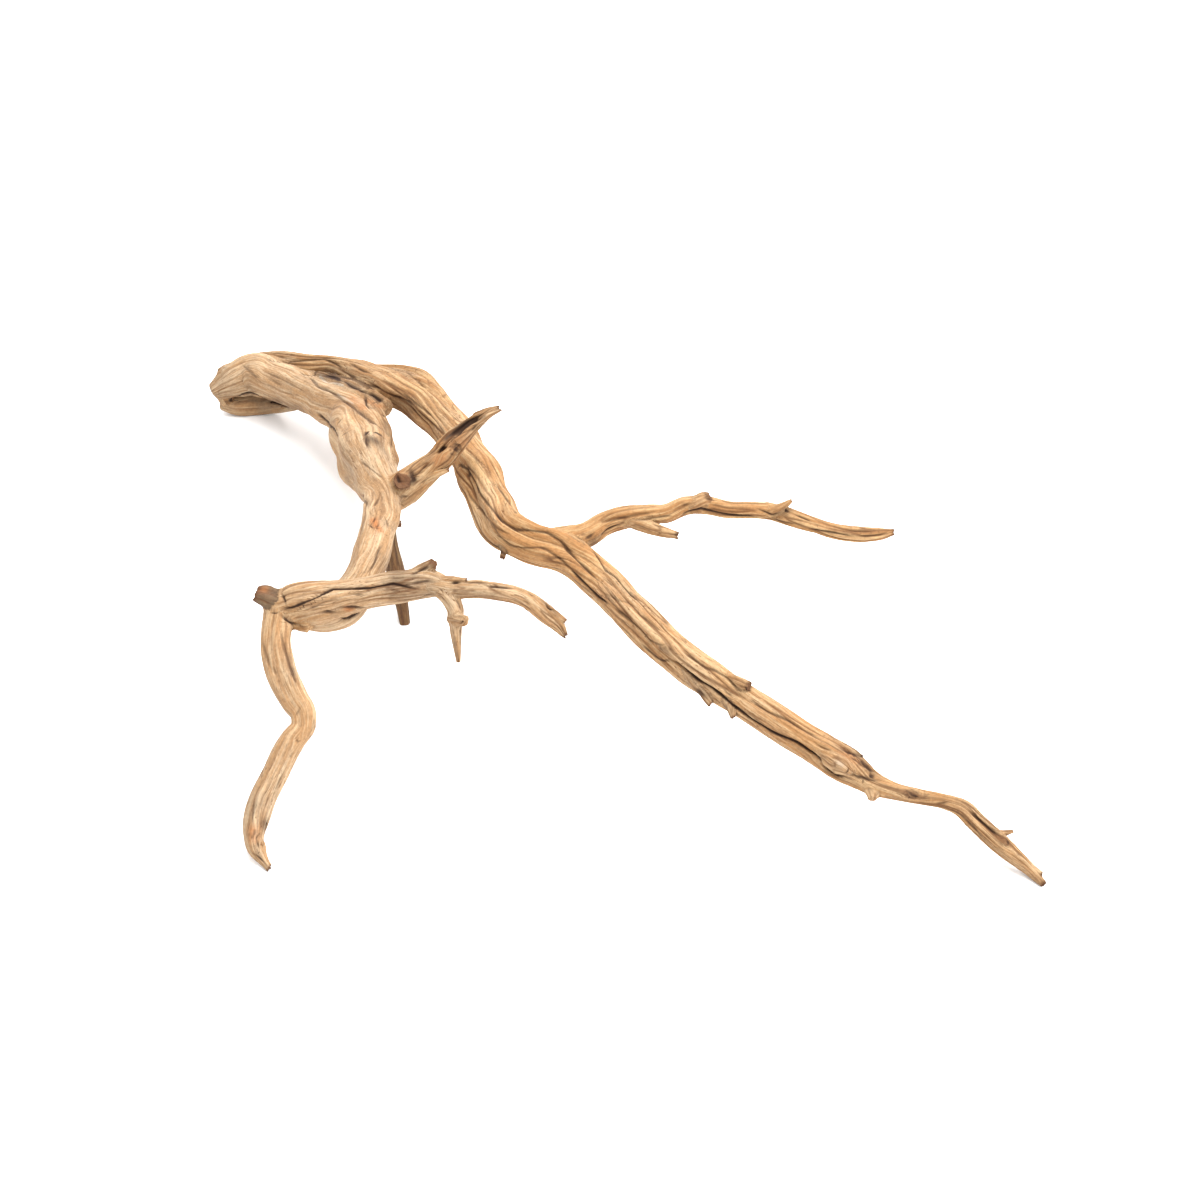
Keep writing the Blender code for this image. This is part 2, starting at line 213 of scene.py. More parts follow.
# %% Smooth curve and even steps
FINE_STEP = 0.5


def even_rings(route, step):
    """Rows x, y, z, half width on a cubic curve through the points, a step apart along the curve.

    Between two points the curve is p = p0 (1 - h) + p1 h + m0 t (1 - t)^2 c - m1 t^2 (1 - t) c,
    with h = t^2 (3 - 2 t), c the chord, and m the slope at a point, weighted from both sides.
    """
    points = np.array(route, float)
    points[:, :3] -= PLAN_MIDDLE
    chords = np.linalg.norm(np.diff(points[:, :3], axis=0), axis=1)
    slopes = np.diff(points, axis=0) / chords[:, None]
    before = np.vstack([slopes[:1], slopes])
    after = np.vstack([slopes, slopes[-1:]])
    weight = np.concatenate([chords[:1], chords])[:, None]
    other = np.concatenate([chords, chords[-1:]])[:, None]
    slope = (before * other + after * weight) / (weight + other)

    share = np.arange(0, chords.sum(), FINE_STEP)
    starts = np.concatenate([[0], np.cumsum(chords)])
    i = np.clip(np.searchsorted(starts, share, side="right") - 1, 0, len(chords) - 1)
    t = ((share - starts[i]) / chords[i])[:, None]
    chord = chords[i][:, None]
    h = t * t * (3 - 2 * t)
    fine = (points[i] * (1 - h) + points[i + 1] * h
            + slope[i] * t * (1 - t) ** 2 * chord - slope[i + 1] * t * t * (1 - t) * chord)
    fine = np.vstack([fine, points[-1:]])

    walked = np.concatenate([[0], np.cumsum(np.linalg.norm(np.diff(fine[:, :3], axis=0), axis=1))])
    count = max(3, int(round(walked[-1] / step)) + 1)
    distance = np.linspace(0, walked[-1], count)
    rings = np.column_stack([np.interp(distance, walked, fine[:, k]) for k in range(4)])
    return rings, distance


def ring_axes(rings):
    """Unit vectors along the limb, towards the viewer and across, one row for each ring."""
    along = np.gradient(rings[:, :3], axis=0)
    along /= np.linalg.norm(along, axis=1)[:, None]
    toward = to_camera - along * (along @ to_camera)[:, None]
    toward /= np.linalg.norm(toward, axis=1)[:, None]
    return along, toward, np.cross(along, toward)


# %% [markdown]
# ## Noise that follows the grain
#
# Wood is streaky: its marks are long along the limb and narrow across it. The noise below is drawn
# on a sheet that is rolled round the limb, so that its cells can be 100 mm long and 6 mm wide and
# still meet without a seam.

# %% Rolled noise
NOISE_ROWS = 96


def fade(t):
    """The smooth step t^3 (t (6 t - 15) + 10), flat at 0 and at 1."""
    return t ** 3 * (t * (6 * t - 15) + 10)


def ramp(x, low, high):
    """0 at low, 1 at high, and a smooth step between them."""
    t = np.clip((x - low) / (high - low), 0, 1)
    return t * t * (3 - 2 * t)


def wrapped(angle):
    """The angle in radians, brought to between -pi and pi."""
    return (angle + np.pi) % (2 * np.pi) - np.pi


def rolled_noise(distance, angle, length, cells, seed):
    """Gradient noise from about -1 to 1, with cells of a length along the limb and a number round it.

    Each corner of a cell has a random slope, and a point takes the four slopes' heights, blended by
    the smooth step. The pattern repeats after the last cell round the limb, where it meets the first.
    """
    cells = max(2, int(round(cells)))
    lean = np.random.default_rng(seed).uniform(0, 2 * np.pi, (NOISE_ROWS, cells))
    u = distance / length + 0 * angle
    v = angle / (2 * np.pi) * cells + 0 * distance
    i, j = np.floor(u).astype(int), np.floor(v).astype(int)
    fu, fv = u - i, v - j

    def height(di, dj):
        slope = lean[(i + di) % NOISE_ROWS, (j + dj) % cells]
        return np.cos(slope) * (fu - di) + np.sin(slope) * (fv - dj)

    su, sv = fade(fu), fade(fv)
    near = height(0, 0) * (1 - sv) + height(0, 1) * sv
    far = height(1, 0) * (1 - sv) + height(1, 1) * sv
    return 1.5 * (near * (1 - su) + far * su)


# %% [markdown]
# ## The plain form of a limb
#
# First each limb is grown with its slow form only: the flutes that the solid has too, some lumps,
# and its end. A root is sunk in its parent and needs a plain cap. A worn end is a blunt dome. A
# snapped end is torn: its rim stands out in splinters and its face is hollow. The grid of a limb
# has one row for each ring and one column for each angle, and the closing rings are drawn in
# towards a middle point. Every point keeps its limb's number, its distance, its width and its
# angle, so that the fine relief can be laid on after the limbs are fused.

# %% Slow form, shared with the solid
FLUTE = 0.045
SWELL = 0.035
FLUTE_TURN = 160.0
SWELL_LENGTH = 46.0
DEPTH = 0.88
END_BULGE = 0.35
GROOVE_RUN_OUT = 0.2
PHASES = 7
LUMPS = 0.05
BROAD_LUMP = 42.0
SMALL_LUMP = 16.0


def slow_form(name, distance, angle, grooves, seed, lumps):
    """Share of the half width: flutes cos(3a) and cos(5a) that turn, a swell, lumps, less grooves."""
    phase = sum(map(ord, name)) % PHASES
    turn = distance / FLUTE_TURN * 2 * np.pi
    form = 1 + FLUTE * (np.cos(3 * angle + turn + phase) + np.cos(5 * angle - turn))
    form = form + SWELL * np.sin(distance / SWELL_LENGTH * 2 * np.pi + phase)
    broad = rolled_noise(distance, angle, BROAD_LUMP, 4, seed)
    form = form + lumps * (broad + 0.7 * rolled_noise(distance, angle, SMALL_LUMP, 6, seed + 1))
    share = distance / distance.max()
    for middle, breadth, depth, start, end in grooves:
        across = np.maximum(0, 1 - np.abs(wrapped(angle - np.radians(middle))) / np.radians(breadth))
        ends = np.minimum(share - start, end - share) / (GROOVE_RUN_OUT * (end - start))
        form = form - depth * ramp(across, 0, 1) * np.clip(ends, 0, 1)
    return form


# %% End rings
CAP_RINGS = 7
FACE_HOLLOW = 0.30


def end_rings(tear, seed, angle, width):
    """Shares of the radius and shifts along the limb for the rings that close an end.

    Worn, with no tear: share cos(f) and shift END_BULGE * width * sin(f), a dome. Torn: the rim is
    pushed out by splinters tear * width high, and the face sinks by FACE_HOLLOW * width.
    """
    if tear == 0:
        f = np.linspace(0, np.pi / 2, CAP_RINGS + 2)[1:-1][:, None]
        return np.cos(f) + 0 * angle, END_BULGE * width * np.sin(f) + 0 * angle, 0 * angle
    share = np.linspace(1, 0, CAP_RINGS + 2)[1:-1][:, None]
    teeth = rolled_noise(0.3, angle, 1.0, 4, seed) + 0.9 * np.abs(rolled_noise(0.6, angle, 1.0, 13, seed + 1))
    rim = tear * width * teeth
    rough = 0.22 * width * rolled_noise(share * 3, angle, 1.0, 9, seed + 2)
    shift = rim * share ** 2 - FACE_HOLLOW * width * (1 - share ** 2) + rough * share * (1 - share) * 4
    return share + 0 * angle, shift, rim


# %% Grow the plain limb
def plain_limb(number, name, route, around, step, seed, depth=DEPTH, grooves=(), lumps=LUMPS, tear=0.0,
               **skin):
    """Points, faces and log places of one limb; the section at a ring is an ellipse, radius times
    cos(angle) * depth towards the viewer and radius times sin(angle) across."""
    rings, walked = even_rings(route, step)
    along, toward, across = ring_axes(rings)
    d = walked[:, None]
    a = np.linspace(0, 2 * np.pi, around, endpoint=False)[None, :]
    width = rings[:, 3][:, None]
    radius = np.maximum(width * slow_form(name, d, a, grooves, seed, lumps), 0.12 * width)

    root_share, root_shift, _ = end_rings(0.0, seed + 20, a, width[0])
    end_share, end_shift, rim = end_rings(tear, seed + 30, a, width[-1])
    reach = ramp(d, walked[-1] - 1.1 * width[-1], walked[-1])
    section = np.cos(a)[:, :, None] * toward[:, None, :] * depth + np.sin(a)[:, :, None] * across[:, None, :]
    centre = rings[:, None, :3] + along[:, None, :] * (rim * reach)[:, :, None]
    skin_grid = centre + radius[:, :, None] * section

    def cap(row, share, shift, sign):
        """The closing rings at one end, from the rim inwards."""
        place = rings[row, :3] + sign * along[row] * shift[:, :, None]
        return place + (share * radius[row])[:, :, None] * section[row]

    first_cap = cap(0, root_share, root_shift, -1)[::-1]
    grid = np.concatenate([first_cap, skin_grid, cap(-1, end_share, end_shift, 1)])
    poles = np.stack([grid[0].mean(0), grid[-1].mean(0)])

    rows = len(grid)
    here = np.arange(rows - 1)[:, None] * around + np.arange(around)
    there = np.arange(rows - 1)[:, None] * around + (np.arange(around) + 1) % around
    quads = np.stack([here, there, there + around, here + around], -1).reshape(-1, 4)
    turn, last = np.arange(around), (rows - 1) * around
    first_fan = np.stack([(turn + 1) % around, turn, 0 * turn + rows * around], -1)
    last_fan = np.stack([last + turn, last + (turn + 1) % around, 0 * turn + rows * around + 1], -1)

    ring_distance = np.concatenate([np.zeros(CAP_RINGS), walked, np.full(CAP_RINGS, walked[-1])])
    ring_width = np.concatenate([np.full(CAP_RINGS, rings[0, 3]), rings[:, 3],
                                 np.full(CAP_RINGS, rings[-1, 3])])
    inward = np.concatenate([0 * root_share[:, 0], 0 * walked, 1 - end_share[:, 0]])
    spread = [np.repeat(values, around) for values in (ring_distance, ring_width, inward)]
    turned = np.tile(a[0], rows)
    log = np.zeros((len(spread[0]) + 2, 3))
    log[:-2] = np.stack([number + 0 * spread[0], spread[0], spread[1]], -1)
    log[-2:] = [(number, 0, rings[0, 3]), (number, walked[-1], rings[-1, 3])]
    round_it = np.zeros((len(log), 3))
    round_it[:-2] = np.stack([np.cos(turned), np.sin(turned), spread[2]], -1)
    round_it[-2:] = [(1, 0, 0), (1, 0, 1)]
    return {"name": name, "places": np.concatenate([grid.reshape(-1, 3), poles]), "quads": quads,
            "fans": np.concatenate([first_fan, last_fan]), "log": log, "round": round_it}


# %% Put a plain limb into a mesh
def as_object(limb):
    """A closed mesh in metres that carries the log places, faces pointing out."""
    mesh = bpy.data.meshes.new(limb["name"])
    mesh.from_pydata(limb["places"] * MM, [], limb["quads"].tolist() + limb["fans"].tolist())
    for key in ("log", "round"):
        layer = mesh.attributes.new(key, "FLOAT_VECTOR", "POINT")
        layer.data.foreach_set("vector", limb[key].astype(np.float32).ravel())
    return bpy.data.objects.new(limb["name"], mesh)


# %% [markdown]
# ## Knots that the photograph shows
#
# Most of the grain can be left to chance, but the eye knows the branch by a few marks. Knots come
# first, because the grain flows round them. A knot is its distance along the limb, an angle in
# degrees, its length and breadth, its height and the depth of its hole.

# %% Knots on the limbs
ARCHING_KNOTS = [
    (480, 10, 5.5, 3.6, 0.8, 0.0),
    (649, -9, 3.4, 2.6, 0.8, 0.5),
    (709, -28, 3.0, 2.3, 0.6, 0.5),
    (390, -78, 6.0, 4.5, 1.0, 0.6),
    (604, 8, 8.0, 5.0, 0.8, 0.0),
    (300, 150, 6.0, 5.0, 1.0, 1.8),
    (520, 170, 5.0, 4.0, 0.8, 1.4),
]
TRUNK_KNOTS = [
    (160, 13, 6.5, 6.0, 0.8, 0.0),
    (176, 27, 4.0, 3.5, 0.0, 0.0),
    (280, 78, 4.0, 3.5, 0.8, 1.2),
    (314, -1, 7.5, 4.5, 0.7, 0.0),
    (230, 160, 6.0, 5.0, 1.2, 1.8),
]
CROSS_KNOTS = [(43, 38, 3.2, 2.6, 0.6, 0.0)]
LEG_KNOTS = [(154, 18, 3.4, 2.8, 0.7, 0.0), (94, -22, 2.2, 1.8, 0.4, 0.5), (86, -80, 3.5, 3.0, 0.9, 0.8)]
STUB_KNOTS = [(53, 30, 3.4, 2.8, 0.8, 0.0)]

# %% [markdown]
# ## The limbs and their skins
#
# Each limb gets its route, the fineness of its grid, its grooves and end, and then what its skin is
# like. Ropes are the rounded ridges between the valleys of the grain: strong on the arching limb,
# faint on the trunk and the leg. The opened share says how many of the valleys have split. Tone
# goes from golden, 0, to pale, 1. Stain darkens the wood: real stains, and painted shade where a
# limb lies in shade, as the rear leg and the wood under the web's hole do. Grey weathers the wood.

# %% Table of limbs
LIMBS = {
    "trunk": dict(route=TRUNK, around=98, step=2.5, seed=3, tone=1.0, ropes=0.34, rope_width=6.5, opened=0.05,
                  grooves=[(-50, 40, 0.16, 0.02, 0.25), (60, 40, 0.14, 0.3, 0.62), (10, 36, 0.12, 0.66, 0.9)],
                  knots=TRUNK_KNOTS),
    "jaw": dict(route=JAW, around=60, step=2.4, seed=5, tone=0.9, stain_and_shade=0.08, ropes=0.45),
    "arching_limb": dict(route=ARCHING_LIMB, around=98, step=2.7, seed=7, tone=0.15, ropes=0.7, opened=0.12,
                         grooves=[(40, 36, 0.18, 0.2, 0.5), (-20, 36, 0.16, 0.42, 0.66),
                                  (30, 36, 0.2, 0.6, 0.84)],
                         tear=0.5, knots=ARCHING_KNOTS),
    "web": dict(route=WEB, around=60, step=2.4, seed=11, depth=0.7, tone=0.5, stain_and_shade=0.35, ropes=0.9,
                rope_width=4.5, rope_length=40, opened=0.15, lumps=0.09),
    "back_flange": dict(route=BACK_FLANGE, around=56, step=2.6, seed=13, depth=0.6, tone=0.0, stain_and_shade=0.15,
                        ropes=0.3, rope_width=7.0),
    "side_branch": dict(route=SIDE_BRANCH, around=60, step=2.2, seed=17, tone=0.05, ropes=0.75,
                        rope_width=4.5, rope_length=60, opened=0.18, lumps=0.07, tear=0.5),
    "cross_limb": dict(route=CROSS_LIMB, around=76, step=1.9, seed=19, tone=0.8, ropes=0.5, rope_width=5.0,
                       rope_length=80, opened=0.06, lumps=0.06, grooves=[(25, 40, 0.16, 0.1, 0.8)],
                       knots=CROSS_KNOTS),
    "front_leg": dict(route=FRONT_LEG, around=66, step=2.0, seed=23, tone=0.9, ropes=0.32, rope_width=6.0,
                      opened=0.03, lumps=0.075, grooves=[(20, 40, 0.14, 0.1, 0.55)], tear=0.5,
                      knots=LEG_KNOTS),
    # The rear leg's near-full stain is painted shade: it stands behind and under the trunk
    "rear_leg": dict(route=REAR_LEG, around=48, step=2.2, seed=29, tone=0.0, stain_and_shade=0.95, ropes=0.6,
                     lumps=0.08),
    "broken_stub": dict(route=BROKEN_STUB, around=76, step=1.4, seed=31, depth=1.0, tone=0.45, stain_and_shade=0.1,
                        ropes=0.7, rope_width=4.5, rope_length=35, opened=0.12, lumps=0.09,
                        grooves=[(-34, 54, 0.8, 0.44, 1.0)], tear=0.9, knots=STUB_KNOTS),
    "dropping_twig": dict(route=DROPPING_TWIG, around=40, step=1.3, seed=37, tone=0.7, ropes=0.6, lumps=0.08),
    "long_twig": dict(route=LONG_TWIG, around=48, step=1.4, seed=41, tone=0.6, ropes=0.7, rope_width=4.0,
                      rope_length=45, opened=0.12, lumps=0.09, grooves=[(20, 60, 0.8, 0.86, 1.3)], tear=1.0),
    "snapped_stub": dict(route=SNAPPED_STUB, around=52, step=1.1, seed=43, tone=0.2, grey_and_shade=0.95, ropes=0.5,
                         rope_width=3.5, rope_length=20, lumps=0.28, tear=0.3),
}
# web_floor's full stain is painted shade in the hole behind the web
PEG_STAIN_AND_SHADE = {
    "crotch_knot": 0.35, "flange_web": 0.0, "seam_lump": 0.3, "web_floor": 1.0, "rear_peg": 1.0,
    "upright_peg": 0.35, "peg_block": 0.3, "hook": 0.45, "peg": 0.45, "shard_above": 0.75,
    "shard_below": 0.75, "elbow_spike": 0.7, "side_knob": 0.15, "tip_spur": 0.2,
}
UNTORN_PEGS = ["burl", "seam_lump", "web_floor", "flange_web", "heel", "leg_shoulder", "lip_join",
               "head_round", "belly_join", "twig_peg"]
PEG_TEAR = {**dict.fromkeys(UNTORN_PEGS, 0.0), "side_knob": 0.2, "hook": 0.3, "crotch_knot": 0.25}
for place, (name, route) in enumerate(PEGS.items()):
    LIMBS[name] = dict(route=route, around=30, step=1.1, seed=60 + 3 * place, tone=0.4, ropes=0.5,
                       rope_width=3.5, rope_length=20, lumps=0.11, stain_and_shade=PEG_STAIN_AND_SHADE.get(name, 0.1),
                       tear=PEG_TEAR.get(name, 0.5))

plain = [plain_limb(number, name, **limb) for number, (name, limb) in enumerate(LIMBS.items())]
print("limbs:", len(plain), "with", sum(len(limb["places"]) for limb in plain), "points")

# %% [markdown]
# ## Fusing the limbs
#
# The branch is one piece of wood, so the limbs are joined by one Boolean union. Its cut lines are
# sharp, but wood flows round a fork. So every point near a cut line is relaxed towards the middle
# of its neighbours, which fills the crease like a fillet. No point moves by more than a fifth of its
# limb's half width, so that thin twigs keep their girth.

# %% One union
joined = bpy.data.collections.new("joined_limbs")
trunk_object, *other_objects = [as_object(limb) for limb in plain]
bpy.context.scene.collection.children.link(joined)
bpy.context.scene.collection.objects.link(trunk_object)
for limb_object in other_objects:
    joined.objects.link(limb_object)
union = trunk_object.modifiers.new("union", "BOOLEAN")
union.operation = "UNION"
union.solver = "MANIFOLD"
union.operand_type = "COLLECTION"
union.collection = joined
graph = bpy.context.evaluated_depsgraph_get()
fused = bpy.data.meshes.new_from_object(trunk_object.evaluated_get(graph), preserve_all_data_layers=True,
                                        depsgraph=graph)
for limb_object in [trunk_object, *other_objects]:
    bpy.data.objects.remove(limb_object)
bpy.data.collections.remove(joined)
print("points after the union:", len(fused.vertices))


# %% Read the fused mesh as arrays
def read_layer(items, key, size, kind=np.float32):
    """One property of all items of a mesh, as rows of a given size."""
    values = np.zeros(len(items) * size, kind)
    items.foreach_get(key, values)
    return values.reshape(-1, size)


def neighbour_mean(values, edges):
    """Mean over the neighbours of each point."""
    a, b = edges.T
    count = len(values)
    total = np.bincount(a, minlength=count) + np.bincount(b, minlength=count)
    columns = [np.bincount(a, c[b], count) + np.bincount(b, c[a], count) for c in values.T]
    return np.stack(columns, -1) / total[:, None]


edges = read_layer(fused.edges, "vertices", 2, np.int32)
log = read_layer(fused.attributes["log"].data, "vector", 3).astype(float)
round_it = read_layer(fused.attributes["round"].data, "vector", 3).astype(float)
on_cut = np.hypot(round_it[:, 0], round_it[:, 1]) < 0.5

# a point on a cut line has no log place of its own and takes that of a neighbour
placed = ~on_cut
for _ in range(6):
    donor = np.full(len(log), -1)
    for first, second in ((0, 1), (1, 0)):
        good = placed[edges[:, first]]
        donor[edges[good, second]] = edges[good, first]
    borrowed = ~placed & (donor >= 0)
    log[borrowed], round_it[borrowed] = log[donor[borrowed]], round_it[donor[borrowed]]
    placed |= borrowed
print("points on cut lines:", int(on_cut.sum()), "left without a place:", int((~placed).sum()))

# %% Soften the forks
SOFT_REACH = 5.0
SOFT_ROUNDS = 24
SOFT_SHARE = 0.2

points = read_layer(fused.vertices, "co", 3).astype(float) / MM
lengths = np.linalg.norm(points[edges[:, 0]] - points[edges[:, 1]], axis=1)
from_cut = np.where(on_cut, 0.0, 1e3)
for _ in range(14):
    np.minimum.at(from_cut, edges[:, 0], from_cut[edges[:, 1]] + lengths)
    np.minimum.at(from_cut, edges[:, 1], from_cut[edges[:, 0]] + lengths)
softness = (1 - ramp(from_cut, 0.25 * SOFT_REACH, SOFT_REACH))[:, None]
softened = points.copy()
for _ in range(SOFT_ROUNDS):
    softened += 0.6 * softness * (neighbour_mean(softened, edges) - softened)
moved = softened - points
far = np.linalg.norm(moved, axis=1)
allowed = SOFT_SHARE * np.maximum(log[:, 2], 1.0)
points += moved * np.minimum(1, allowed / np.maximum(far, 1e-6))[:, None]
print("points softened:", int((softness > 0).sum()))


# %% Write places back and read normals
def lay_points(mesh, places):
    """Write places in millimetres, with none below the table, and return the new normals."""
    places[:, 2] = np.maximum(places[:, 2], 0.0)
    mesh.vertices.foreach_set("co", (places * MM).astype(np.float32).ravel())
    mesh.update()
    return read_layer(mesh.vertices, "normal", 3).astype(float)


normals = lay_points(fused, points)

# %% [markdown]
# ## Relief of the skin
#
# Now the relief is laid on, each limb's in its own distances and angles, and every point moves
# along its normal. Ropes come from a rolled noise: its zero lines are the valleys. The distance to
# a zero line is about the noise divided by its slope, so that valleys are as sharp everywhere.
# Some valleys have split open. Knots push the grain aside, and the listed cracks come last.

# %% Valleys of the grain
SLOPE_STEP = 0.02
LEAST_SLOPE = 0.05


def grain_valleys(distance, angle, width, length, cells, seed):
    """Signed distance in millimetres to the nearest valley: noise / slope of the noise across the grain.

    It changes sign in the valley, so a finish that reads it can draw a line thinner than the mesh.
    """
    def field(turned):
        return (rolled_noise(distance, turned, length, cells, seed)
                + 0.2 * rolled_noise(distance, turned, 0.5 * length, 2 * cells, seed + 1))

    slope = (field(angle + SLOPE_STEP) - field(angle - SLOPE_STEP)) / (2 * SLOPE_STEP * width)
    return field(angle) / np.hypot(slope, LEAST_SLOPE)


# %% Knots
def knot_form(e, rise, hole):
    """Height and darkness of a knot, with e = 0 at its middle and 1 at its rim.

    The height is rise * exp(-e^2), less the hole in its middle and a groove round its rim.
    The darkness in the hole and in the groove is painted shade; the thin ring is the knot's own colour.
    """
    pit = np.exp(-(e / 0.42) ** 2) * hole
    groove = np.exp(-((e - 0.95) / 0.15) ** 2) * (hole > 0.3)
    ring = 0.35 * np.exp(-((e - 0.65) / 0.10) ** 2)
    drawn = np.maximum(0.6 * groove, ring * (hole > 0))
    return rise * np.exp(-e ** 2) - pit - 0.5 * groove, np.maximum(np.clip(pit / 1.3, 0, 1), drawn)


def lay_knots(distance, angle, width, knots):
    """Height, darkness and grain angle that the knots of a limb give; e is the elliptical distance.

    The grain's angle is drawn out round the knot, so that valleys pass on both sides of it.
    """
    height, dark, flow = 0 * angle, 0 * angle, angle.copy()
    for at, turn, length, breadth, rise, hole in knots:
        away = wrapped(angle - np.radians(turn))
        e = np.sqrt(((distance - at) / length) ** 2 + (away * width / breadth) ** 2)
        knot_height, knot_dark = knot_form(e, rise, hole)
        height += knot_height
        dark = np.maximum(dark, knot_dark)
        beyond = ((distance - at) / (1.8 * length)) ** 2 + (away * width / (1.6 * breadth)) ** 2
        flow -= 0.85 * away * np.exp(-beyond)
    return height, dark, flow


# %% Relief of one limb
ROPE_VALLEY = 0.9
OPEN_DEPTH = 0.7
OPEN_HALF = 0.8
THREADS = 0.2


def limb_relief(distance, angle, width, seed, knots=(), ropes=0.5, rope_width=6.0, rope_length=150.0,
                opened=0.15, **form):
    """Height in millimetres, darkness of knots, vein, its strength, how far it is open, and grain angle.

    height = ropes * (1 - exp(-|v| / ROPE_VALLEY)) - opened valleys + threads + knots, with v the vein,
    the signed distance to the nearest valley.
    """
    thin = np.clip(width / 10, 0.3, 1.2) ** 0.6
    typical = float(np.median(width))
    girth = 2 * np.pi * typical
    knot_height, knot_dark, flow = lay_knots(distance, angle, width, knots)
    drift = 0.30 * np.sin(distance / 61 + seed) + 0.12 * np.sin(distance / 23 + 2 * seed)
    wiggle = (0.3 * rolled_noise(distance, angle, 12.0, 5, seed + 2)
              + rolled_noise(distance, angle, 31.0, 4, seed + 3))
    grain_angle = flow + drift + wiggle / np.maximum(width, 4)

    vein = grain_valleys(distance, grain_angle, width, rope_length, girth / rope_width, seed + 4)
    thread = grain_valleys(distance, grain_angle, width, 60.0, girth / 2.6, seed + 6)
    rope = 1 - np.exp(-np.abs(vein) / ROPE_VALLEY)
    strength = 0.65 + 0.7 * ramp(rolled_noise(distance, angle, 55.0, 4, seed + 8), -0.4, 0.4)
    height = thin * ropes * strength * (rope - 0.65)
    height += THREADS * thin * (1 - np.exp(-np.abs(thread) / 0.6) - 0.6)

    choice = rolled_noise(distance, angle, 120.0, 6, seed + 9)
    limit = 0.62 - 1.1 * opened
    split = ramp(choice, limit, limit + 0.25)
    height -= OPEN_DEPTH * thin * split * np.exp(-(vein / OPEN_HALF) ** 2)
    height += thin * knot_height
    return height, knot_dark, vein, np.minimum(1, ropes * strength / 0.8), split, grain_angle


# %% Lay the relief on every limb
GRAIN_SHRINK = 0.07
GRAIN_APART = 31.0

number, distance, width = log.T
number = np.round(number).astype(int)
angle = np.arctan2(round_it[:, 1], round_it[:, 0])
inward = round_it[:, 2]
width = np.maximum(width, 1.0)
height, dark, vein = np.zeros(len(log)), np.zeros(len(log)), np.full(len(log), 5.0)
furrow, split = np.zeros(len(log)), np.zeros(len(log))
tone, stain_and_shade, torn = np.zeros(len(log)), np.zeros(len(log)), np.zeros(len(log))
grey_and_shade, rust = np.zeros(len(log)), np.zeros(len(log))
grain = np.zeros((len(log), 3))
for k, (name, limb) in enumerate(LIMBS.items()):
    rows = np.flatnonzero(number == k)
    if len(rows) == 0:
        continue
    d, a, w = distance[rows], angle[rows], width[rows]
    height[rows], dark[rows], vein[rows], furrow[rows], split[rows], turned = limb_relief(d, a, w, **limb)
    tone[rows], stain_and_shade[rows], grey_and_shade[rows] = limb["tone"], limb.get("stain_and_shade", 0.0), limb.get("grey_and_shade", 0.0)
    typical = float(np.median(w)) * (1 - 0.9 * inward[rows])
    grain[rows] = np.stack([typical * np.cos(turned), typical * np.sin(turned),
                            GRAIN_SHRINK * d + GRAIN_APART * k], -1)
    if limb.get("tear", 0) > 0:
        end = plain[k]["log"][-1, 1]
        torn[rows] = np.maximum(ramp(d, end - 1.3 * w, end + 0.4 * w), inward[rows] > 0.01)
near_cut = ramp(from_cut, 0.3, 3.5)
height *= (0.35 + 0.65 * near_cut) * (1 - 0.7 * (inward > 0.01))
furrow, split, vein = furrow * near_cut, split * near_cut, np.clip(vein, -5, 5)
print("relief from %.2f to %.2f mm" % (height.min(), height.max()))

# %% [markdown]
# ## Cracks, seams and holes, given one by one
#
# The eye knows this branch by its long split, the lines that sweep round the elbow, the closed
# mouth, the hole where the arching limb leaves the trunk and the seams where limbs meet. Each mark
# is its half width and depth in millimetres, its darkness, and a few points read off along it in
# the photograph, across and down in its 1200 pixels. A ray from the camera through each point finds
# its place on the skin, so a mark may run from limb to limb.

# %% From a point of the photograph to the skin
PHOTO_SIDE = 1200.0
LENS_PIXELS = PHOTO_SIDE * LENS / SENSOR
READING_STEP = 0.5

eye = (AIM + to_camera * CAMERA_DISTANCE) * MM
picture_right = np.array([1.0, 0.0, 0.0])
picture_up = np.cross(to_camera, picture_right)
corners = read_layer(fused.vertices, "co", 3).tolist()
skin = BVHTree.FromPolygons(corners, [face.vertices[:] for face in fused.polygons])


def on_skin(pixels):
    """Places in millimetres where the rays through points of the photograph first meet the skin.

    The ray of a point (u, v) is right (u - 600) - up (v - 600) - towards the camera, times the lens
    in pixels.
    """
    u, v = (np.array(pixels, float) - PHOTO_SIDE / 2).T[:, :, None]
    rays = u * picture_right - v * picture_up - LENS_PIXELS * to_camera
    rays /= np.linalg.norm(rays, axis=1)[:, None]
    return np.array([skin.ray_cast(eye, ray)[0] for ray in rays]) / MM


def reading_line(pixels):
    """The places on the skin, rounded to half a millimetre: the readings are no finer."""
    return np.round(on_skin(pixels) / READING_STEP) * READING_STEP


# %% Mouth and head
HEAD_MARKS = [
    (1.1, 1.8, 1, [(225, 402), (232, 400), (244, 394), (250, 393), (256, 395), (264, 398), (272, 401),
                   (280, 404), (288, 407), (296, 410), (303, 412)]),
    (0.6, 0.8, 0.45, [(241, 363), (255, 376), (261, 379)]),
    (0.65, 1.1, 0.6, [(265, 357), (270, 360), (278, 362), (290, 362), (325, 359), (333, 363), (342, 368)]),
    (0.6, 0.7, 0.35, [(266, 377), (283, 386)]),
    (0.7, 1.2, 0.7, [(299, 372), (303, 374), (309, 375), (315, 374), (318, 371)]),
    (0.6, 0.6, 0.3, [(262, 371), (275, 376), (305, 392)]),
    (0.9, 1.6, 0.85, [(317, 413), (325, 420), (329, 424), (332, 427), (335, 431), (337, 436), (338, 440)]),
]

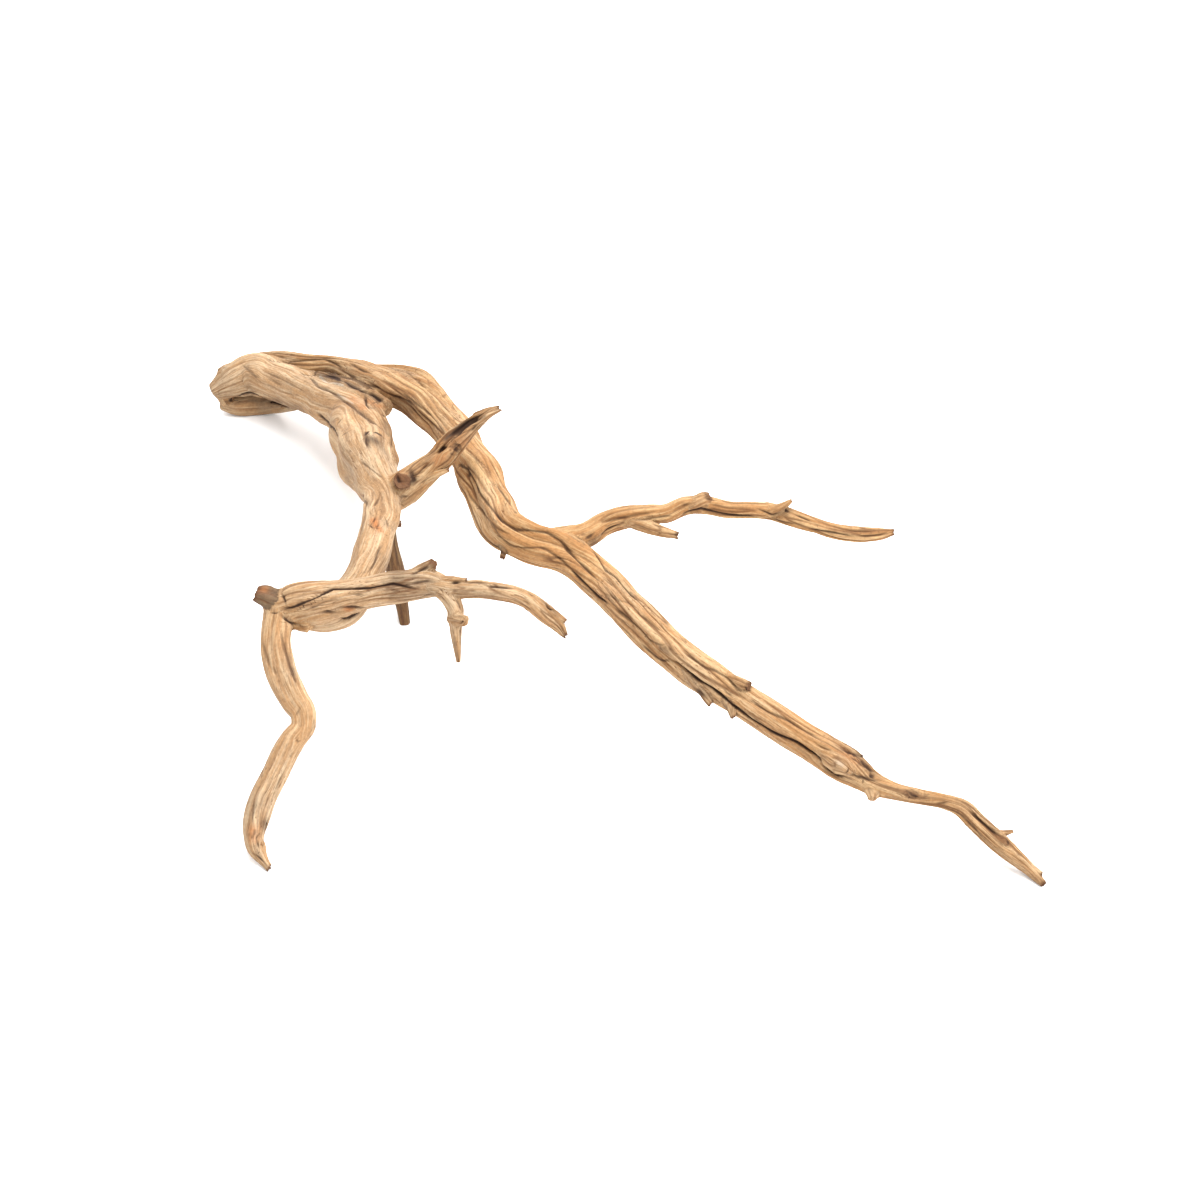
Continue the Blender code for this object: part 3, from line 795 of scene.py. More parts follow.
# %% Where the arching limb leaves the trunk
WEB_MARKS = [
    (1.3, 1.2, 1, [(320, 373), (325, 373), (334, 376)]),
    (2.6, 1.4, 1, [(324, 373), (343, 380)]),
    (2.1, 3.4, 1, [(342, 378), (367, 393)]),
    (1.4, 2.6, 1, [(366, 391), (374, 395), (382, 402)]),
    (1.2, 1.1, 0.6, [(306, 377), (312, 379), (318, 386), (334, 393), (366, 417), (380, 428), (385, 432)]),
    (0.8, 1.5, 0.9, [(365, 395), (367, 405), (370, 409)]),
    (0.6, 0.9, 0.7, [(370, 408), (375, 407)]),
    (0.6, 0.8, 0.6, [(371, 403), (376, 404)]),
    (1, 1.6, 0.95, [(381, 414), (384, 415), (385, 417)]),
    (0.65, 1, 0.65, [(392, 434), (392, 447)]),
    (0.9, 1.3, 0.6, [(383, 397), (391, 396), (400, 397), (413, 405)]),
    (0.6, 0.9, 0.5, [(348, 362), (363, 371), (370, 373)]),
    (0.65, 1, 0.55, [(346, 373), (362, 382), (372, 386), (382, 389)]),
    (0.65, 1, 0.55, [(402, 392), (432, 416)]),
    (0.6, 0.7, 0.4, [(404, 370), (420, 383), (428, 391), (443, 405), (457, 421)]),
]

# %% Trunk
TRUNK_MARKS = [
    (1.1, 1.7, 1, [(364, 437), (367, 431), (376, 432), (385, 439)]),
    (0.8, 1.1, 0.85, [(366, 434), (366, 443), (369, 447)]),
    (0.65, 1, 0.6, [(336, 428), (338, 422), (344, 417)]),
    (0.65, 1, 0.65, [(341, 437), (350, 430)]),
    (0.6, 0.8, 0.5, [(360, 461), (375, 472), (384, 480)]),
    (0.8, 1.4, 0.95, [(397, 475), (399, 481), (403, 482)]),
    (0.6, 0.9, 0.6, [(414, 476), (425, 471)]),
    (1.3, 1.8, 0.95, [(410, 470), (414, 480), (410, 486)]),
    (0.65, 0.9, 0.6, [(400, 497), (405, 497), (410, 496)]),
    (0.6, 0.8, 0.5, [(399, 504), (403, 506), (407, 507)]),
    (0.6, 0.6, 0.35, [(378, 497), (373, 507)]),
    (0.6, 0.6, 0.35, [(369, 511), (372, 515)]),
    (0.65, 0.9, 0.5, [(384, 516), (388, 524), (388, 528)]),
    (0.65, 1, 0.85, [(368, 524), (374, 529)]),
    (0.6, 0.8, 0.65, [(376, 517), (372, 523)]),
    (0.6, 0.8, 0.6, [(375, 528), (379, 524)]),
    (0.7, 1.1, 0.65, [(383, 545), (379, 550), (374, 565), (368, 573)]),
    (0.7, 0.8, 0.6, [(364, 499), (366, 503), (367, 507)]),
]

# %% Broken stub
STUB_MARKS = [
    (2, 2.6, 0.9, [(446, 438), (470, 423), (484, 417)]),
    (0.8, 1.4, 0.85, [(470, 432), (479, 424)]),
    (1.5, 2.4, 1, [(438, 453), (443, 450), (447, 447)]),
    (0.8, 1.4, 0.9, [(452, 447), (456, 450), (459, 453)]),
    (0.75, 1.2, 0.8, [(450, 446), (455, 444), (460, 446), (462, 450)]),
    (0.6, 0.7, 0.4, [(445, 443), (465, 432), (476, 427)]),
    (0.6, 1, 0.5, [(420, 470), (436, 461)]),
    (0.6, 0.7, 0.4, [(415, 487), (425, 481), (434, 474)]),
]

# %% Arching limb
ARCHING_MARKS = [
    (0.75, 1.5, 0.7, [(455, 460), (460, 465), (465, 468), (470, 474), (480, 495), (487, 503),
                      (502, 520), (516, 529), (532, 531), (548, 533), (560, 541), (570, 553), (597, 579)]),
    (0.65, 1.1, 0.5, [(466, 488), (470, 497), (492, 523), (497, 528), (510, 534)]),
    (0.7, 1.3, 0.6, [(490, 523), (495, 530), (500, 537), (512, 546), (526, 548), (540, 547), (546, 549),
                     (558, 558), (570, 568)]),
    (0.75, 1.9, 0.95, [(568, 567), (598, 597), (610, 605)]),
    (0.8, 1.3, 0.8, [(488, 541), (494, 546), (500, 551), (505, 554), (508, 555)]),
    (0.65, 1.1, 0.6, [(496, 482), (500, 490), (514, 509)]),
    (0.9, 1.2, 0.9, [(514, 510), (517, 513)]),
    (0.6, 0.8, 0.45, [(466, 451), (472, 456), (480, 461), (492, 472)]),
    (0.6, 0.7, 0.35, [(474, 458), (496, 488)]),
    (0.6, 0.9, 0.55, [(573, 535), (583, 541), (589, 546)]),
    (0.75, 1.3, 0.75, [(592, 549), (606, 570), (616, 577), (633, 597), (639, 601)]),
    (0.6, 0.8, 0.4, [(600, 576), (618, 589)]),
    (0.6, 0.8, 0.4, [(600, 590), (618, 600), (630, 603), (638, 609)]),
    (0.7, 1.2, 0.55, [(612, 606), (640, 629), (651, 641), (663, 645), (668, 643)]),
    (0.6, 1, 0.5, [(632, 610), (640, 614), (655, 627), (667, 634)]),
    (0.75, 1.3, 0.8, [(640, 643), (658, 659), (662, 661), (673, 660)]),
    (0.75, 2.2, 1, [(673, 660), (678, 663), (698, 680), (712, 688), (750, 719), (772, 732), (797, 742),
                    (810, 751), (820, 760), (824, 766), (834, 776), (847, 777)]),
    (0.75, 1.4, 0.8, [(849, 775), (855, 776), (872, 780), (881, 781)]),
    (0.7, 1.2, 0.55, [(681, 650), (705, 667), (715, 670), (727, 678), (738, 690), (745, 693)]),
    (0.6, 0.9, 0.45, [(722, 688), (727, 693), (735, 697)]),
    (0.7, 1, 0.8, [(745, 686), (746, 690), (750, 691)]),
    (0.7, 1.2, 0.6, [(750, 700), (768, 712), (790, 721), (810, 733), (820, 739)]),
    (0.6, 0.9, 0.5, [(812, 741), (823, 748), (838, 752)]),
    (0.9, 1.4, 0.85, [(694, 688), (706, 697)]),
    (0.65, 1, 0.8, [(849, 767), (848, 771), (845, 774)]),
    (1.3, 2.6, 1, [(841, 748), (846, 751), (862, 757)]),
    (1.1, 1.8, 1, [(864, 764), (873, 772)]),
    (1.3, 2.6, 1, [(864, 760), (860, 765)]),
    (1.3, 2.2, 1, [(874, 775), (869, 777)]),
    (0.8, 1.2, 0.8, [(850, 757), (862, 764)]),
    (0.6, 0.7, 0.4, [(618, 623), (636, 641)]),
]

# %% Tip of the arching limb
TIP_MARKS = [
    (0.9, 1.3, 0.9, [(909, 792), (916, 797), (918, 794)]),
    (0.6, 0.6, 0.4, [(922, 798), (930, 794)]),
    (0.65, 0.9, 0.6, [(935, 804), (950, 802)]),
    (0.85, 1.5, 0.85, [(968, 810), (993, 832), (1001, 836)]),
    (0.9, 1, 0.85, [(1007, 841), (1008, 845)]),
    (0.6, 0.8, 0.55, [(962, 816), (974, 828), (981, 837)]),
    (0.6, 0.7, 0.4, [(895, 792), (903, 797)]),
    (0.6, 0.7, 0.4, [(1015, 851), (1022, 858)]),
]

# %% Side branch
SIDE_MARKS = [
    (0.75, 1.4, 0.9, [(585, 539), (594, 534)]),
    (0.8, 1.5, 0.9, [(600, 538), (604, 533), (613, 527), (625, 524)]),
    (0.6, 0.9, 0.5, [(600, 523), (635, 515), (655, 512)]),
    (0.6, 0.9, 0.5, [(632, 520), (641, 520), (668, 516), (676, 516)]),
    (0.6, 0.9, 0.5, [(652, 525), (665, 527)]),
    (0.9, 1.2, 0.95, [(674, 535), (676, 535)]),
    (0.8, 1.8, 0.95, [(682, 516), (685, 513), (700, 509), (730, 515), (758, 517)]),
    (0.65, 1, 0.6, [(758, 517), (768, 519), (778, 521), (800, 525)]),
    (0.7, 0.9, 0.5, [(680, 506), (692, 503)]),
    (0.6, 0.8, 0.6, [(704, 494), (708, 495)]),
    (0.7, 0.9, 0.6, [(705, 499), (713, 499)]),
    (0.7, 1.3, 0.8, [(757, 508), (772, 515), (778, 514), (782, 511)]),
    (0.9, 1.3, 0.9, [(786, 509), (790, 512)]),
    (0.6, 1, 0.7, [(790, 512), (815, 523)]),
    (0.7, 1.3, 0.85, [(808, 529), (832, 532), (854, 537)]),
    (0.6, 0.9, 0.55, [(854, 537), (880, 535), (890, 531)]),
    (0.6, 0.8, 0.4, [(845, 530), (868, 531), (876, 530)]),
]

# %% Cross limb
CROSS_MARKS = [
    (0.65, 2.2, 1, [(281, 610), (292, 608), (310, 600), (333, 589), (370, 588), (393, 584), (416, 589)]),
    (0.7, 1.2, 0.75, [(408, 584), (428, 581), (435, 582)]),
    (0.8, 1.5, 0.9, [(281, 592), (287, 605)]),
    (0.95, 2, 1, [(279, 614), (290, 622), (294, 624), (299, 625)]),
    (0.65, 1, 0.8, [(270, 613), (276, 613), (280, 612)]),
    (0.75, 1.3, 0.8, [(320, 614), (326, 612), (338, 613)]),
    (0.85, 2, 0.95, [(337, 618), (345, 619), (360, 613), (366, 608)]),
    (0.8, 1.3, 0.85, [(338, 608), (352, 607), (367, 608)]),
    (0.6, 0.8, 0.5, [(352, 594), (366, 595)]),
    (0.6, 0.9, 0.5, [(395, 600), (410, 600), (420, 598), (434, 594)]),
    (0.6, 0.8, 0.4, [(300, 612), (312, 608), (325, 602), (340, 599)]),
    (0.8, 1.2, 0.85, [(408, 576), (420, 570), (432, 566)]),
]

# %% Front leg
LEG_MARKS = [
    (0.9, 1.2, 0.5, [(280, 628), (284, 648), (297, 686)]),
    (0.8, 0.9, 0.4, [(262, 640), (270, 668)]),
    (0.9, 0.7, 0.35, [(271, 666), (278, 677)]),
    (0.7, 0.7, 0.35, [(300, 706), (295, 718)]),
    (0.8, 1, 0.6, [(297, 739), (298, 742)]),
    (0.8, 0.8, 0.45, [(293, 752), (290, 757)]),
    (0.75, 0.9, 0.5, [(286, 768), (274, 793)]),
    (0.6, 0.6, 0.35, [(255, 797), (252, 825)]),
    (0.6, 0.9, 0.7, [(257, 839), (260, 849)]),
    (0.9, 1.3, 0.95, [(268, 821), (267, 825)]),
    (0.6, 0.9, 0.8, [(253, 853), (266, 864)]),
]

# %% Twigs
TWIG_MARKS = [
    (0.8, 1.6, 0.95, [(449, 583), (461, 582)]),
    (0.6, 1, 0.7, [(461, 582), (480, 583), (490, 584)]),
    (0.65, 1.1, 0.8, [(482, 585), (515, 589)]),
    (0.6, 0.8, 0.65, [(528, 592), (533, 597)]),
    (0.6, 0.8, 0.5, [(522, 601), (530, 605)]),
    (2, 3.6, 1, [(546, 603), (553, 610)]),
    (1.2, 1.4, 0.9, [(461, 621), (463, 624)]),
    (0.6, 0.8, 0.5, [(436, 587), (441, 590), (444, 596)]),
]

# %% Knots: middle, a point on the rim, half breadth, rise and hole. Stains and painted shade: reach and strength
SPACE_KNOTS = [
    ((372, 440), (378, 443), 3.8, 0.7, 0.3),
    ((666, 650), (672, 652), 1.9, 0.4, 0.4),
    ((349, 608), (353, 608), 1.5, 0.5, 0.5),
    ((254, 834), (254, 838), 2.8, 0.7, 0.7),
    ((840, 764), (847, 768), 4, 0.8, 0),
    ((456, 451), (461, 451), 3, 0.5, 0.9),
]
SPACE_STAINS_AND_SHADE = {
    # Most stain marks are painted shade: in the crease under the arching limb, in pits, slots and crevices,
    # inside the mouth and under its roof, under the arch, in the crotch and over the rear leg. The trunk
    # knot's disk and the crotch knot's ring are the wood's own colour, and the head's end is made darker.
    "stain_and_shade": [
        (7, 0.85, [(396, 550), (398, 578)]),
        (2.4, 0.95, [(325, 374), (341, 379)]),
        (2.2, 0.9, [(344, 380), (356, 387), (379, 402)]),
        (3, 0.9, [(264, 823), (266, 828)]),
        (4, 0.6, [(248, 387), (250, 387)]),
        (5, 0.5, [(250, 396), (270, 400), (290, 405)]),
        (7, 0.6, [(388, 404), (400, 404), (412, 410)]),
        (6, 0.3, [(342, 447), (346, 457), (350, 466)]),
        (3, 0.4, [(382, 439), (381, 449)]),
        (7, 0.4, [(404, 497), (410, 499)]),
        (5, 0.35, [(382, 556), (381, 568)]),
        (12, 0.35, [(222, 380), (228, 395)]),
        (9, 0.25, [(245, 372), (252, 380)]),
        (5, 0.6, [(262, 399), (282, 403), (302, 409)]),
        (5, 0.7, [(700, 692), (705, 697)]),
        (4, 0.85, [(593, 542), (595, 544)]),
        (4, 0.7, [(786, 510), (779, 515)]),
        (6, 0.45, [(858, 752), (864, 764)]),
        (5, 0.45, [(993, 832), (1001, 836)]),
        (5, 1, [(372, 440), (375, 442)]),
        (3, 0.7, [(396, 474), (401, 482)]),
        (3, 0.45, [(466, 426), (483, 417)]),
        (4, 0.65, [(843, 749), (852, 753), (862, 761), (871, 772)]),
        (4, 0.6, [(545, 602), (555, 612)]),
        (4, 0.3, [(326, 389), (374, 423)]),
    ],
    # Grey weathering, except along the long twig's belly, on the cross limb's lower right and in the stub's
    # hollow, where the grey is painted shade
    "grey_and_shade": [
        (2.5, 1, [(446, 438), (467, 424)]),
        (3.5, 0.5, [(432, 452), (430, 459)]),
        (3, 0.55, [(386, 422), (387, 434)]),
        (3, 0.5, [(320, 374), (327, 378)]),
        (3, 0.4, [(664, 650), (668, 651)]),
        (4, 0.35, [(455, 592), (475, 592), (495, 596)]),
        (5, 0.4, [(395, 594), (415, 594), (430, 590)]),
        (3, 0.6, [(411, 474), (413, 482)]),
        (4, 0.3, [(371, 440), (373, 440)]),
    ],
    "rust": [
        (3, 0.9, [(254, 830), (255, 838)]),
        (3.5, 0.7, [(352, 398), (364, 408)]),
        (2.6, 1, [(374, 520), (376, 526), (381, 531)]),
        (3.5, 0.6, [(368, 401), (378, 406)]),
        (1.8, 1, [(347, 608), (351, 609)]),
        (4, 0.6, [(454, 447), (464, 440)]),
        (3, 0.5, [(846, 754), (858, 762)]),
        (2.5, 0.8, [(257, 590), (264, 590)]),
        (5, 0.35, [(450, 443), (462, 437)]),
        (4, 0.5, [(438, 459), (445, 457)]),
        (3, 0.5, [(402, 472), (405, 474)]),
    ],
    "tone": [
        (2, 1.7, [(320, 376), (327, 383), (335, 383), (343, 386)]),
        (1.4, 1.5, [(338, 394), (354, 404)]),
        (18, 0.8, [(234, 368), (252, 358), (280, 358)]),
        (4, 1.3, [(838, 763), (842, 765)]),
        (7, 1.15, [(266, 780), (272, 790)]),
        (7, 1.1, [(262, 805), (262, 830)]),
        (4, 1.2, [(445, 590), (455, 605)]),
    ],
}


# %% Distance across the skin to a line
SKIN_REACH = 4.5
FAR = 1e3


def to_line(rows, line, flatly=True):
    """Distance across the skin from each point to a line, its side, and how far on to the nearer end.

    The part of the distance that lies along the normal is left out, so a line may float a little
    above or below the skin. With flatly off it is the plain distance in space. The side is -1 or 1,
    as the point lies on one side of the line or the other.
    """
    line = np.array(line, float)
    best, foot, side, walked = np.full(len(rows), FAR), np.zeros(len(rows)), np.ones(len(rows)), 0.0
    for start, end in zip(line[:-1], line[1:]):
        reach = end - start
        length = np.linalg.norm(reach)
        off = points[rows] - start
        t = np.clip(off @ reach / length ** 2, 0, 1)
        turned = np.sign(np.sum(np.cross(normals[rows], reach) * off, axis=1))
        off = off - t[:, None] * reach
        rise = np.sum(off * normals[rows], axis=1)
        squared = np.sum(off * off, axis=1)
        flat = np.sqrt(squared)
        if flatly:
            flat = np.sqrt(np.maximum(squared - rise ** 2, 0))
            flat = np.where(np.abs(rise) < SKIN_REACH, flat, FAR)
        closer = flat < best
        foot, side = np.where(closer, walked + t * length, foot), np.where(closer, turned, side)
        best = np.minimum(best, flat)
        walked += length
    return best, side, np.minimum(foot, walked - foot), walked


def near(line, reach):
    """Rows of the points within a box round the line."""
    line = np.array(line, float)
    inside = np.all((points > line.min(0) - reach) & (points < line.max(0) + reach), axis=1)
    return np.flatnonzero(inside)


# %% Lay the marks
MARK_MARGIN = 8
MARK_TAPER = 6.0
LIP_AT = 2.3
LIP_SHARE = 0.10
SIDE_LIMIT = 6.0
ALL_MARKS = (HEAD_MARKS + WEB_MARKS + TRUNK_MARKS + STUB_MARKS + ARCHING_MARKS + TIP_MARKS + SIDE_MARKS
             + CROSS_MARKS + LEG_MARKS + TWIG_MARKS)
# crack_share is how dark a mark is made: the wood's dark colour in a crack, and painted shade in it, in the
# seams, the mouth and the hole
closest, crack_side, crack_share = np.full(len(log), FAR), np.full(len(log), SIDE_LIMIT), np.zeros(len(log))
for half, deep, darkness, pixels in ALL_MARKS:
    line = reading_line(pixels)
    rows = near(line, MARK_MARGIN)
    away, side, run, total = to_line(rows, line)
    ends = 0.2 + 0.8 * ramp(run, 0, min(MARK_TAPER, 0.4 * total + 0.01))
    half_here = half * (0.65 + 0.35 * ends) * (1 + 0.25 * np.sin(run / 2.7 + line[0][0]))
    section = np.exp(-(away / np.maximum(half_here, 0.8)) ** 2) * ends
    lip = np.exp(-((away - LIP_AT * half_here) / half_here) ** 2) * ends
    height[rows] += deep * (LIP_SHARE * lip - section)
    nearest = away / half < closest[rows]
    seen = rows[nearest]
    closest[seen] = (away / half)[nearest]
    crack_side[seen] = np.clip(side * away / half_here, -SIDE_LIMIT, SIDE_LIMIT)[nearest]
    crack_share[seen] = (darkness * ends * (1 - ramp(away, 1.5 + half, 2.5 + half)))[nearest]
for middle_pixel, rim_pixel, breadth, rise, hole in SPACE_KNOTS:
    middle, rim = on_skin([middle_pixel, rim_pixel])
    arrow = np.round(rim - middle, 1)
    middle = reading_line([middle_pixel])[0]
    length = np.linalg.norm(arrow)
    rows = near([middle], 3 * length)
    off = points[rows] - middle
    lift = np.sum(off * normals[rows], axis=1)
    along = off @ arrow / length
    across = np.sqrt(np.maximum(np.sum(off * off, axis=1) - lift ** 2 - along ** 2, 0))
    e = np.where(np.abs(lift) < SKIN_REACH, np.hypot(along / length, across / breadth), 9.0)
    knot_height, knot_dark = knot_form(e, rise, hole)
    height[rows] += knot_height
    dark[rows] = np.maximum(dark[rows], knot_dark)
for values, key in ((stain_and_shade, "stain_and_shade"), (rust, "rust"), (grey_and_shade, "grey_and_shade"), (tone, "tone")):
    for reach, strength, pixels in SPACE_STAINS_AND_SHADE[key]:
        line = reading_line(pixels)
        rows = near(line, 2 * reach)
        share = np.exp(-(to_line(rows, line, flatly=False)[0] / reach) ** 2)
        values[rows] = np.maximum(values[rows], strength * share)
print("marks laid by hand:", len(ALL_MARKS), "knots:", len(SPACE_KNOTS))

# %% Move the points, and measure how hollow each place is
points += normals * height[:, None]
normals = lay_points(fused, points)
hollow = np.sum((neighbour_mean(points, edges) - points) * normals, axis=1)
hollow = neighbour_mean(hollow[:, None], edges)[:, 0]
print("hollow, 5th and 95th of a hundred: %.3f %.3f mm" % tuple(np.percentile(hollow, [5, 95])))

layers = dict(dark=dark, vein=vein, furrow=furrow, split=split, crack_side=crack_side,
              crack_share=crack_share, tone=tone, stain_and_shade=stain_and_shade, torn=torn, rust=rust, grey_and_shade=grey_and_shade,
              hollow=hollow)
for key, values in layers.items():
    layer = fused.attributes.new(key, "FLOAT", "POINT")
    layer.data.foreach_set("value", values.astype(np.float32))
layer = fused.attributes.new("grain", "FLOAT_VECTOR", "POINT")
layer.data.foreach_set("vector", grain.astype(np.float32).ravel())
for key in ("log", "round"):
    fused.attributes.remove(fused.attributes[key])

# %% The dressed branch takes the solid's place
fused.polygons.foreach_set("use_smooth", np.ones(len(fused.polygons), bool))
driftwood = bpy.data.objects.new("driftwood_skin", fused)
bpy.context.scene.collection.objects.link(driftwood)
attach(driftwood, "root")
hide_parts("driftwood")
fused.calc_loop_triangles()
print("triangles of the skin:", len(fused.loop_triangles))

# %% [markdown]
# ## Dry, bare wood
#
# The wood has no bark and no varnish. Its colour is a light tan that turns golden on the arching
# limb and pale on the trunk and the leg. Fine streaks run with the grain, valleys are browner than
# crests, cracks are nearly black, and torn ends are a reddish or greyish brown. The brown of the
# valleys and the black of cracks, holes and knot pits are partly the wood's own colour and partly
# painted shade; concave hollows are darkened as painted shade, and the stain and grey marks paint
# shade into creases, the mouth, shaded undersides and the rear leg as well as real stains and
# weathering. The streaks are noise on the place that a point would have on a straight log, so they
# follow every bend.

# %% Node helpers
def add_node(tree, kind, **settings):
    """A node of a kind, with its settings."""
    node = tree.nodes.new(kind)
    for key, value in settings.items():
        setattr(node, key, value)
    return node


def wire(tree, value, socket):
    """Link a node's output to a socket, or set the socket to a plain value."""
    if isinstance(value, bpy.types.NodeSocket):
        tree.links.new(value, socket)
    else:
        socket.default_value = value


def noise(tree, vector, scale, detail=3.0, roughness=0.55, distortion=0.0):
    """Cloudy noise from 0 to 1, with cells of a size of one over the scale."""
    node = add_node(tree, "ShaderNodeTexNoise")
    tree.links.new(vector, node.inputs["Vector"])
    node.inputs["Scale"].default_value = scale
    node.inputs["Detail"].default_value = detail
    node.inputs["Roughness"].default_value = roughness
    node.inputs["Distortion"].default_value = distortion
    return node.outputs["Fac"]


def calc(tree, operation, first, second=0.0, clamp=False):
    """One sum of two values, such as MULTIPLY or ADD."""
    node = add_node(tree, "ShaderNodeMath", operation=operation, use_clamp=clamp)
    wire(tree, first, node.inputs[0])
    wire(tree, second, node.inputs[1])
    return node.outputs[0]


def fit(tree, value, low, high, out_low=0.0, out_high=1.0):
    """Map the range low to high onto out_low to out_high, smoothly and without going past them."""
    node = add_node(tree, "ShaderNodeMapRange", interpolation_type="SMOOTHSTEP")
    wire(tree, value, node.inputs["Value"])
    for name, number in (("From Min", low), ("From Max", high), ("To Min", out_low), ("To Max", out_high)):
        node.inputs[name].default_value = number
    return node.outputs["Result"]


def mix(tree, share, first, second, blend="MIX"):
    """The first colour at share 0 and the second at share 1."""
    node = add_node(tree, "ShaderNodeMix", data_type="RGBA", blend_type=blend)
    wire(tree, share, node.inputs[0])
    wire(tree, first, node.inputs[6])
    wire(tree, second, node.inputs[7])
    return node.outputs[2]


# %% Colours of the wood
OWN_SHARE = 0.43


def linear(red, green, blue):
    """A colour given as screen values from 0 to 255, as the shader's linear numbers, times OWN_SHARE.

    The studio light is strong enough to turn the table white, so the wood's own colour is less than
    half as bright as it looks in the picture.
    """
    share = np.array([red, green, blue]) / 255.0
    low, high = share / 12.92, ((share + 0.055) / 1.055) ** 2.4
    return (*(OWN_SHARE * np.where(share <= 0.04045, low, high)).tolist(), 1.0)


GOLDEN = linear(243, 198, 142)
GOLDEN_DEEP = linear(204, 146, 88)
PALE = linear(250, 216, 174)
PALE_DEEP = linear(208, 162, 114)
BARE = linear(246, 226, 198)
GREYISH = linear(186, 162, 134)
# Brown for the grain's hairlines, and for valleys and hollows, where it is partly painted shade
VALLEY = linear(122, 75, 38)
# Nearly black for cracks, seams, holes and knot pits: partly the wood's dark colour there, partly painted
# shade inside them
CRACK = linear(64, 37, 19)
TORN = linear(122, 76, 44)
# Dark brown for real stains and for painted shade in creases, recesses and over the shaded rear leg
STAIN_AND_SHADE = linear(88, 60, 36)
# Weathered grey, and also painted shade on shaded undersides and in the stub's hollow
GREY_AND_SHADE = linear(84, 72, 62)
RUST = linear(214, 138, 80)
ROUGHNESS = 0.84

# %% The wood finish
wood = bpy.data.materials.new("weathered_wood_fine")
wood.use_nodes = True
tree = wood.node_tree
shader = tree.nodes["Principled BSDF"]


def mark(name):
    """The value that the skin's points carry under a name."""
    return add_node(tree, "ShaderNodeAttribute", attribute_name=name).outputs["Fac"]


grain_place = add_node(tree, "ShaderNodeAttribute", attribute_name="grain").outputs["Vector"]
place = add_node(tree, "ShaderNodeTexCoord").outputs["Object"]
fibres = noise(tree, grain_place, 2.6, detail=4.0, roughness=0.6)
streaks = noise(tree, grain_place, 0.75, detail=4.0, roughness=0.6)
bands = noise(tree, grain_place, 0.22, detail=3.0, roughness=0.55, distortion=0.4)
blotches = noise(tree, place, 45.0, detail=4.0, roughness=0.6)
patches = noise(tree, place, 14.0, detail=3.0, roughness=0.5)
specks = noise(tree, place, 520.0, detail=2.0, roughness=0.6)

streaky = calc(tree, "ADD", calc(tree, "MULTIPLY", streaks, 0.55), calc(tree, "MULTIPLY", bands, 0.45))
deep_share = fit(tree, streaky, 0.63, 0.40)
golden = mix(tree, deep_share, GOLDEN, GOLDEN_DEEP)
pale = mix(tree, deep_share, PALE, PALE_DEEP)
toned = calc(tree, "ADD", mark("tone"), fit(tree, patches, 0.3, 0.7, -0.35, 0.35), clamp=True)
colour = mix(tree, toned, golden, pale)
grey_share = calc(tree, "MULTIPLY", fit(tree, blotches, 0.50, 0.70), calc(tree, "MULTIPLY", toned, 0.35))
colour = mix(tree, grey_share, colour, GREYISH)
colour = mix(tree, fit(tree, mark("tone"), 1.05, 1.5, 0.0, 0.85), colour, BARE)
# Real stains, and painted shade in creases, recesses, the mouth, under the arch and over the rear leg
stain_and_shade_share = calc(tree, "MULTIPLY", mark("stain_and_shade"), fit(tree, streaks, 0.3, 0.6, 1.0, 0.7))
colour = mix(tree, stain_and_shade_share, colour, STAIN_AND_SHADE)
# Weathered grey, and painted shade where a grey mark lies on a shaded underside or in a hollow
grey_and_shade_share = calc(tree, "MULTIPLY", mark("grey_and_shade"), fit(tree, blotches, 0.3, 0.6, 1.0, 0.75))
colour = mix(tree, grey_and_shade_share, colour, GREY_AND_SHADE)
rusted = calc(tree, "MULTIPLY", mark("rust"), fit(tree, blotches, 0.35, 0.6, 0.4, 1.0))
colour = mix(tree, rusted, colour, RUST)
from_vein = calc(tree, "ABSOLUTE", mark("vein"))
# Darker down each grain valley: a thin dark line that is partly the wood's own colour, partly painted shade
furrow_share = calc(tree, "MULTIPLY", fit(tree, from_vein, 1.3, 0.1, 0.0, 0.72), mark("furrow"))
colour = mix(tree, furrow_share, colour, VALLEY)
# Painted shade: the more concave the skin, the darker it is made, towards the valley brown
colour = mix(tree, fit(tree, mark("hollow"), 0.03, 0.18, 0.0, 0.42), colour, VALLEY)
colour = mix(tree, fit(tree, mark("torn"), 0.15, 0.9, 0.0, 0.85), colour, TORN)
hairline = calc(tree, "ABSOLUTE", calc(tree, "SUBTRACT", noise(tree, grain_place, 0.42, detail=2.0), 0.5))
hairline_share = calc(tree, "MULTIPLY", fit(tree, hairline, 0.016, 0.002),
                      fit(tree, patches, 0.42, 0.60, 0.1, 0.75))
colour = mix(tree, hairline_share, colour, VALLEY)
fibre_share = calc(tree, "MULTIPLY", fit(tree, fibres, 0.36, 0.64, 0.84, 1.10),
                   fit(tree, specks, 0.35, 0.65, 0.90, 1.07))
lighter = add_node(tree, "ShaderNodeCombineColor")
for channel in ("Red", "Green", "Blue"):
    tree.links.new(fibre_share, lighter.inputs[channel])
colour = mix(tree, 1.0, colour, lighter.outputs["Color"], blend="MULTIPLY")
# Opened valleys are darkened: partly their own dark colour, partly painted shade inside them
split_share = calc(tree, "MULTIPLY", fit(tree, from_vein, 0.65, 0.1, 0.0, 0.75), mark("split"))
colour = mix(tree, split_share, colour, CRACK)
# Marked cracks, seams, the mouth and the hole are darkened: partly dark wood, partly painted shade
from_crack = calc(tree, "ABSOLUTE", mark("crack_side"))
crack_share = calc(tree, "MULTIPLY", fit(tree, from_crack, 1.5, 0.45, 0.0, 0.96), mark("crack_share"))
colour = mix(tree, crack_share, colour, CRACK)
